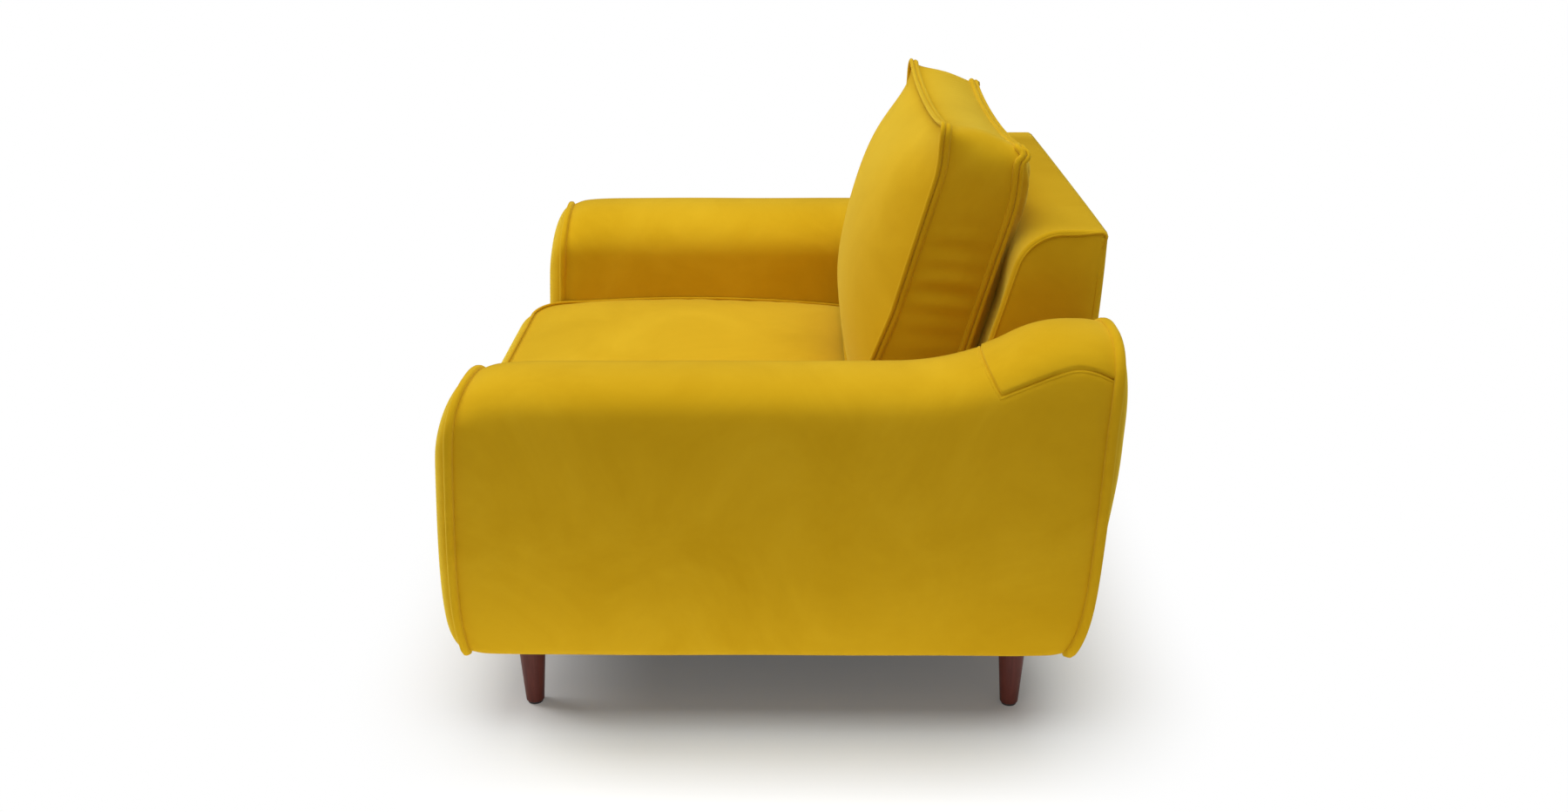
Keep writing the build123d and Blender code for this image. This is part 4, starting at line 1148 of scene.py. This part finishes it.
def build_seat():
    """The seat cushion: crowned top, bulging boxing, twin-welted seams."""
    plan = (seat_half, seat_front_seam, seat_rear, seat_front_radius, seat_rear_radius)
    x, y, ring = rounded_plan(101, 91, *plan)
    share_x = np.abs(x) / seat_half
    middle_y = (seat_front_seam + seat_rear) / 2
    share_y = np.abs(y - middle_y) / (seat_rear - seat_front_seam) * 2
    crown = seat_crown * (1 - share_x**2.6) * (1 - share_y**4)
    along_sides = smooth(seat_front_seam, seat_front_seam + seat_side_drop_run, y)
    sunk = (seat_puff + seat_seam_drop + seat_side_drop * along_sides) * ring**14
    creased = seat_wave * ripple(2.6 * x + 1.9 * y, 3.4 * y - 1.2 * x) * (1 - ring**6)
    top = grid(x, y, seat_edge(y) + crown + seat_puff - sunk + creased)
    bottom = grid(x, y, seat_low + seat_lift)
    piece, top_rim, bottom_rim = boxed_cushion("velvet_seat_cushion", top, bottom, seat_bulge)
    resting = np.nonzero(piece_points(piece)[:, 2] < seat_low + 5 * seat_lift)[0]
    puff(piece, np.concatenate([top_rim, bottom_rim, resting]), seat_cap)
    points = seat_fitted(piece_points(piece))
    set_points(piece, points)
    beads = []
    for edge, away, lift in ((top_rim, up, seat_top_bead_lift), (bottom_rim, -up, seat_low_bead_lift)):
        outward = loop_outward(points[edge], up)
        beads += twin_welt(points[edge] + away * lift, outward, away, seat_bead, seat_bead)
    welts = tubes("velvet_seat_cushion_welts", beads)
    finish_cushion("seat_cushion", piece, welts, 0.85)
    return piece


seat_piece = build_seat()


# Back cushion

lean_origin = np.array([0.0, back_face(deck_top), deck_top])
lean_up = np.array([0.0, sin(back_rake), cos(back_rake)])
lean_out = np.array([0.0, -cos(back_rake), sin(back_rake)])


def leaned(x, v, w):
    """Points of the leaning frame, in the sofa's frame."""
    return lean_origin + grid(x, 0, 0) + grid(v, v, v) * lean_up + grid(w, w, w) * lean_out


def pillow_plan(ring_x, ring_v, u, v):
    """The cushion's outline: its sides pull in between corners that stand out."""
    high = np.clip(v, 0, 1)
    waist = 1 - pillow_waist / pillow_half * (1 - v**2) * np.abs(u) ** 2
    x = ring_x * waist + np.sign(u) * pillow_ear * (np.abs(u) * np.abs(v)) ** pillow_ear_power
    dip = pillow_dip * (1 - u**2) * high**2
    return x, ring_v - dip + pillow_ear * (np.abs(u) * high) ** pillow_ear_power


def pillow_seam(w, size, low, high, v):
    """How far a seam stands out from the back: by w, and by a size more at its head."""
    return w + size * smooth(low, high, v) ** pillow_head_power


def pillow_creases(line, share):
    """Level folds down the boxing's sides and slanting ones along its head."""
    x, y, z = line.T
    v = (line - lean_origin) @ lean_up
    side = smooth(*side_fold_x_band, np.abs(x)) * smooth(*side_fold_v_band, v)
    head = smooth(*head_fold_drops, pillow_top - v) * smooth(*head_fold_x_band, np.abs(x))
    level = 2 * pi * (z + side_fold_slope * (y - side_fold_y)) / side_fold_pitch
    folds = (np.sin(level) + 0.6 * np.sin(0.57 * level + 1.3)) / 1.3
    slant = np.sin(2 * pi * (x + head_fold_slant * share) / head_fold_pitch)
    return swollen(*side_fold, v) * folds * side + stepped(*head_fold, share) * slant * head


def build_pillow():
    """The back cushion: domed face, pinched corners, creased boxing, twin-welted seams."""
    counts = (91, 69)
    size = (pillow_half, pillow_low, pillow_top)
    ring_x, ring_v, _ = rounded_plan(*counts, *size, pillow_corner_radius, pillow_corner_radius)
    u = ring_x / pillow_half
    v = (ring_v - pillow_low) / (pillow_top - pillow_low) * 2 - 1

    def outline(size, radius):
        return pillow_plan(*rounded_plan(*counts, *size, radius, radius)[:2], u, v)

    x, rise = outline(size, pillow_corner_radius)
    low_part = np.clip((pillow_peak - v) / (1 + pillow_peak), 0, 1) ** pillow_low_power
    high_part = np.clip((v - pillow_peak) / (1 - pillow_peak), 0, 1) ** pillow_high_power
    dome = (1 - np.abs(u) ** pillow_power) * (1 - low_part - high_part)
    front_seam_w = pillow_seam(pillow_front_w, *pillow_front_head, rise) + stepped(*pillow_front_foot, rise)
    front = leaned(x, rise, front_seam_w + pillow_crown * dome)
    rear_x, rear_rise = outline(size, pillow_rear_corner_radius)
    rear_dome = (1 - np.abs(u) ** pillow_rear_side_power) * (1 - np.abs(v) ** pillow_rear_head_power)
    above_zip = smooth(*pillow_flat_rises, rear_rise - pillow_zip_v)
    rear_w = pillow_seam(pillow_rear_w, *pillow_rear_head, rear_rise)
    rear_reach = (rear_w + pillow_rear_bulge) * np.sqrt(rear_dome) * above_zip
    rear = leaned(rear_x, rear_rise, rear_w - rear_reach)
    soft_size = (pillow_half + pillow_side_bulge, pillow_low, pillow_top + pillow_head_bulge)
    wide = leaned(*outline(soft_size, pillow_soft_radius), 0)
    spread = rim(wide - leaned(x, rise, 0))

    def bulge(line, share):
        arch = 4 * share * (1 - share)
        creases = loop_outward(line, lean_out) * pillow_creases(line, share)[:, None]
        return (spread + creases) * arch

    piece, front_rim, rear_rim = boxed_cushion("velvet_back_cushion", front, rear, bulge)
    flat_strip = rear_rise.size + np.nonzero(rear_rise.ravel() < pillow_zip_v + pillow_held_rise)[0]
    puff(piece, np.concatenate([front_rim, rear_rim, flat_strip]), pillow_cap)
    points = piece_points(piece)
    behind = np.minimum((points - lean_origin) @ lean_out + pillow_rear_bulge, 0)
    points = sit_on(points - behind[:, None] * lean_out, seat_piece, pillow_gap)
    set_points(piece, points)
    beads = []
    for line, away in ((points[front_rim], lean_out), (points[rear_rim], -lean_out)):
        beads += twin_welt(line, loop_outward(line, lean_out), away, pillow_bead, pillow_bead_proud)
    welts = tubes("velvet_back_cushion_welts", beads)
    set_points(welts, sit_on(piece_points(welts), seat_piece, pillow_bead_gap))
    finish_cushion("back_cushion", piece, welts, 0.75)


build_pillow()


# Zips: x along the zip, a across it, h out of the cloth


def on_seat(x, a, h):
    """Places on the zip in the seat cushion's rear boxing."""
    return grid(x, seat_zip_y + h, seat_zip_z + a)


def on_pillow(x, a, h):
    """Places on the zip low in the back cushion's rear face."""
    return leaned(*np.broadcast_arrays(x, pillow_zip_v + a, pillow_zip_w - h))


def build_zip_teeth(cushion, place):
    """Teeth that stand in turn on the two sides of the zip."""
    corners = np.array([[-1, -1], [1, -1], [1, 1], [-1, 1]])
    levels = (
        (zip_tape_top - zip_tooth_root, 1.0, 0.40),
        (zip_tooth_shoulder, 0.95, 0.38),
        (zip_tooth_top, 0.6, 0.2),
    )
    points, faces = [], []
    for number in range(int(2 * zip_half / zip_pitch)):
        side = zip_tooth_side if number % 2 else -zip_tooth_side
        middle = (number + 0.5) * zip_pitch - zip_half
        for height, wide, long in levels:
            along = middle + corners[:, 0] * long * zip_pitch
            points.append(place(along, side + corners[:, 1] * wide * zip_tooth / 2, height))
        rows = np.arange(12).reshape(3, 4) + 12 * number
        faces += quads(rows, closed=True) + [rows[2][::-1].tolist(), rows[0].tolist()]
    teeth = mesh_piece(f"{cushion}_zip_teeth", np.concatenate(points), faces)
    dress(teeth, cushion, "zip_metal")


def build_zip_slider(cushion, slider_body, place, inside):
    """The slider, wider at one end, and its pull with a raised rim."""
    low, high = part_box(f"{cushion}_zip_slider")
    square_a, square_h = rounded_turn(np.linspace(0, 2 * pi, 24, endpoint=False), 0.5)
    middle_h = (zip_tooth_top + zip_slider_top) / 2
    half_h = (zip_slider_top - zip_tooth_top) / 2
    rings = []
    for t in np.linspace(0, 1, 15):
        full = (1 - (2 * t - 1) ** 6) ** 0.5
        half_a = (zip_slider_half + zip_slider_flare * smooth(0.2, 0.8, t)) * (0.35 + 0.65 * full)
        tall = half_h * (0.45 + 0.55 * full)
        rings.append(place(low.x + (high.x - low.x) * t, half_a * square_a, middle_h + tall * square_h))
    body = closed_rings(f"{cushion}_zip_slider_body", np.array(rings))
    dress(body, slider_body, "zip_metal", f"{cushion}_zip_slider")

    v = np.linspace(0, 1, 25)[:, None]
    across = np.linspace(-1, 1, 9)[None, :]
    round_end = np.sqrt(1 - 0.96 * np.clip((v - 0.86) / 0.14, 0, 1) ** 2)
    x = (low.x + high.x) / 2 + zip_pull_half * round_end * (0.75 + 0.25 * v) * across
    rim_height = zip_pull_rim * np.abs(across) ** 6 * smooth(0.0, 0.1, v)
    height = zip_slider_top + zip_pull_lift - zip_pull_drop * smooth(0.0, 0.25, v) + rim_height
    tab = place(x, -zip_pull_start - zip_pull_length * v, height)
    pull = thick_sheet(f"{cushion}_zip_slider_pull", tab, inside, zip_pull_thickness)
    dress(pull, slider_body, "zip_metal")


def build_zip(cushion, slider_body, place):
    """A sewn-in zip: its tape, its teeth and its slider."""
    inside = place(0.0, 0.0, -0.03)
    x = np.linspace(-zip_half, zip_half, 90)[:, None]
    a = np.linspace(-zip_tape_half, zip_tape_half, 9)[None, :]
    strip = place(x, a, zip_tape_top - zip_tape_curve * a**2)
    tape = thick_sheet(f"{cushion}_zip_tape", strip, inside, zip_tape_thickness)
    dress(tape, cushion, "zip_tape", f"{cushion}_zip")
    build_zip_teeth(cushion, place)
    build_zip_slider(cushion, slider_body, place, inside)


build_zip("seat_cushion", "seat_zip_slider", on_seat)
build_zip("back_cushion", "back_zip_slider", on_pillow)


# Studio: floor, soft light and the photograph's camera

view_place = (2.62225, 0.04012, 1.28042)
view_pitch = radians(20.74)
view_turn = radians(0.43)
view_lens = 35.0
view_sensor = 36.0
floor_half = 30.0
floor_grey = 0.88
shadow_middle = (0.0, 0.02, 0.0)
shadow_half = (0.45, 0.20, 0.0)
shadow_start = 0.16
shadow_reach = 0.52
shadow_white = 0.075
sky_level = 0.205
sky_colour = (1.0, 0.91, 0.82, 1)

# Lamps as (name, place, direction, width and length, power, colour)
lamps = (
    ("soft_lamp", (0.5, 0.25, 4.2), (0.0, 0.0, -1.0), (4.6, 4.6), 158.0, (0.95, 1.0, 0.98)),
    ("low_fill", (0.88, 0.0, 0.025), (-1.0, 0.0, 0.05), (1.5, 0.04), 0.85, (1.0, 1.0, 1.0)),
    ("front_lamp", (-0.5, -3.0, 2.6), (0.5, 3.0, -2.1), (1.6, 2.0), 60.0, (1.0, 1.0, 1.0)),
)


def build_floor():
    """A pale floor that keeps the sofa's shadow and turns plain white further off."""
    corners = [(x * floor_half, y * floor_half, 0) for x, y in ((-1, -1), (1, -1), (1, 1), (-1, 1))]
    floor = mesh_piece("studio_floor", corners, [[0, 1, 2, 3]])
    surface = Surface("studio_floor")
    away = surface.place
    for operation, other in (
        ("SUBTRACT", [shadow_middle]),
        ("ABSOLUTE", []),
        ("SUBTRACT", [shadow_half]),
        ("MAXIMUM", [(0, 0, 0)]),
    ):
        away = surface.work("VectorMath", operation, away, *other).outputs["Vector"]
    distance = surface.work("VectorMath", "LENGTH", away).outputs["Value"]
    fading = {"From Min": shadow_start, "From Max": shadow_reach, "To Min": shadow_white}
    fade = surface.add("MapRange", interpolation_type="SMOOTHSTEP", Value=distance, **fading)
    ray = surface.add("LightPath").outputs
    seen = surface.work("Math", "MAXIMUM", ray["Is Camera Ray"], ray["Is Glossy Ray"])
    share = surface.work("Math", "MULTIPLY", fade.outputs["Result"], seen.outputs["Value"])
    white = surface.add("Emission")
    mix = surface.add("MixShader", Fac=share.outputs["Value"])
    surface.feed(mix.inputs[1], surface.shader.outputs["BSDF"])
    surface.feed(mix.inputs[2], white.outputs["Emission"])
    surface.feed(surface.tree.nodes["Material Output"].inputs["Surface"], mix.outputs["Shader"])
    grey = {"Base Color": (floor_grey, floor_grey, floor_grey, 1), "Specular IOR Level": 0.1}
    floor.data.materials.append(surface.finish(Roughness=0.9, **grey))


def placed(name, data, place, direction):
    """A lamp or camera that stands at a place and looks in a direction."""
    holder = bpy.data.objects.new(name, data)
    holder.location = place
    holder.rotation_mode = "QUATERNION"
    holder.rotation_quaternion = Vector(direction).to_track_quat("-Z", "Y")
    scene.collection.objects.link(holder)
    return holder


def build_lamps():
    """A wide soft lamp overhead, a faint one along the floor and one in front."""
    for name, place, direction, size, power, colour in lamps:
        lamp = bpy.data.lights.new(name, "AREA")
        lamp.shape = "RECTANGLE"
        lamp.size, lamp.size_y = size
        lamp.energy = power
        lamp.color = colour
        placed(name, lamp, place, direction).visible_camera = False


def build_sky():
    """An even pale sky that the camera sees as plain white."""
    world = bpy.data.worlds.new("studio_sky")
    world.use_nodes = True
    add, link = world.node_tree.nodes.new, world.node_tree.links.new
    sky = world.node_tree.nodes["Background"]
    sky.inputs["Color"].default_value = sky_colour
    sky.inputs["Strength"].default_value = sky_level
    white = add("ShaderNodeBackground")
    white.inputs["Color"].default_value = (1, 1, 1, 1)
    mix = add("ShaderNodeMixShader")
    link(add("ShaderNodeLightPath").outputs["Is Camera Ray"], mix.inputs["Fac"])
    link(sky.outputs["Background"], mix.inputs[1])
    link(white.outputs["Background"], mix.inputs[2])
    link(mix.outputs["Shader"], world.node_tree.nodes["World Output"].inputs["Surface"])
    scene.world = world


def build_camera():
    """The camera at the photograph's place and angle."""
    camera = bpy.data.cameras.new("photo_view")
    camera.lens = view_lens
    camera.sensor_width = view_sensor
    camera.sensor_fit = "HORIZONTAL"
    level = cos(view_pitch)
    ahead = (-level * cos(view_turn), -level * sin(view_turn), -sin(view_pitch))
    scene.camera = placed("photo_view", camera, view_place, ahead)


build_floor()
build_lamps()
build_sky()
build_camera()
scene.view_settings.view_transform = "Standard"
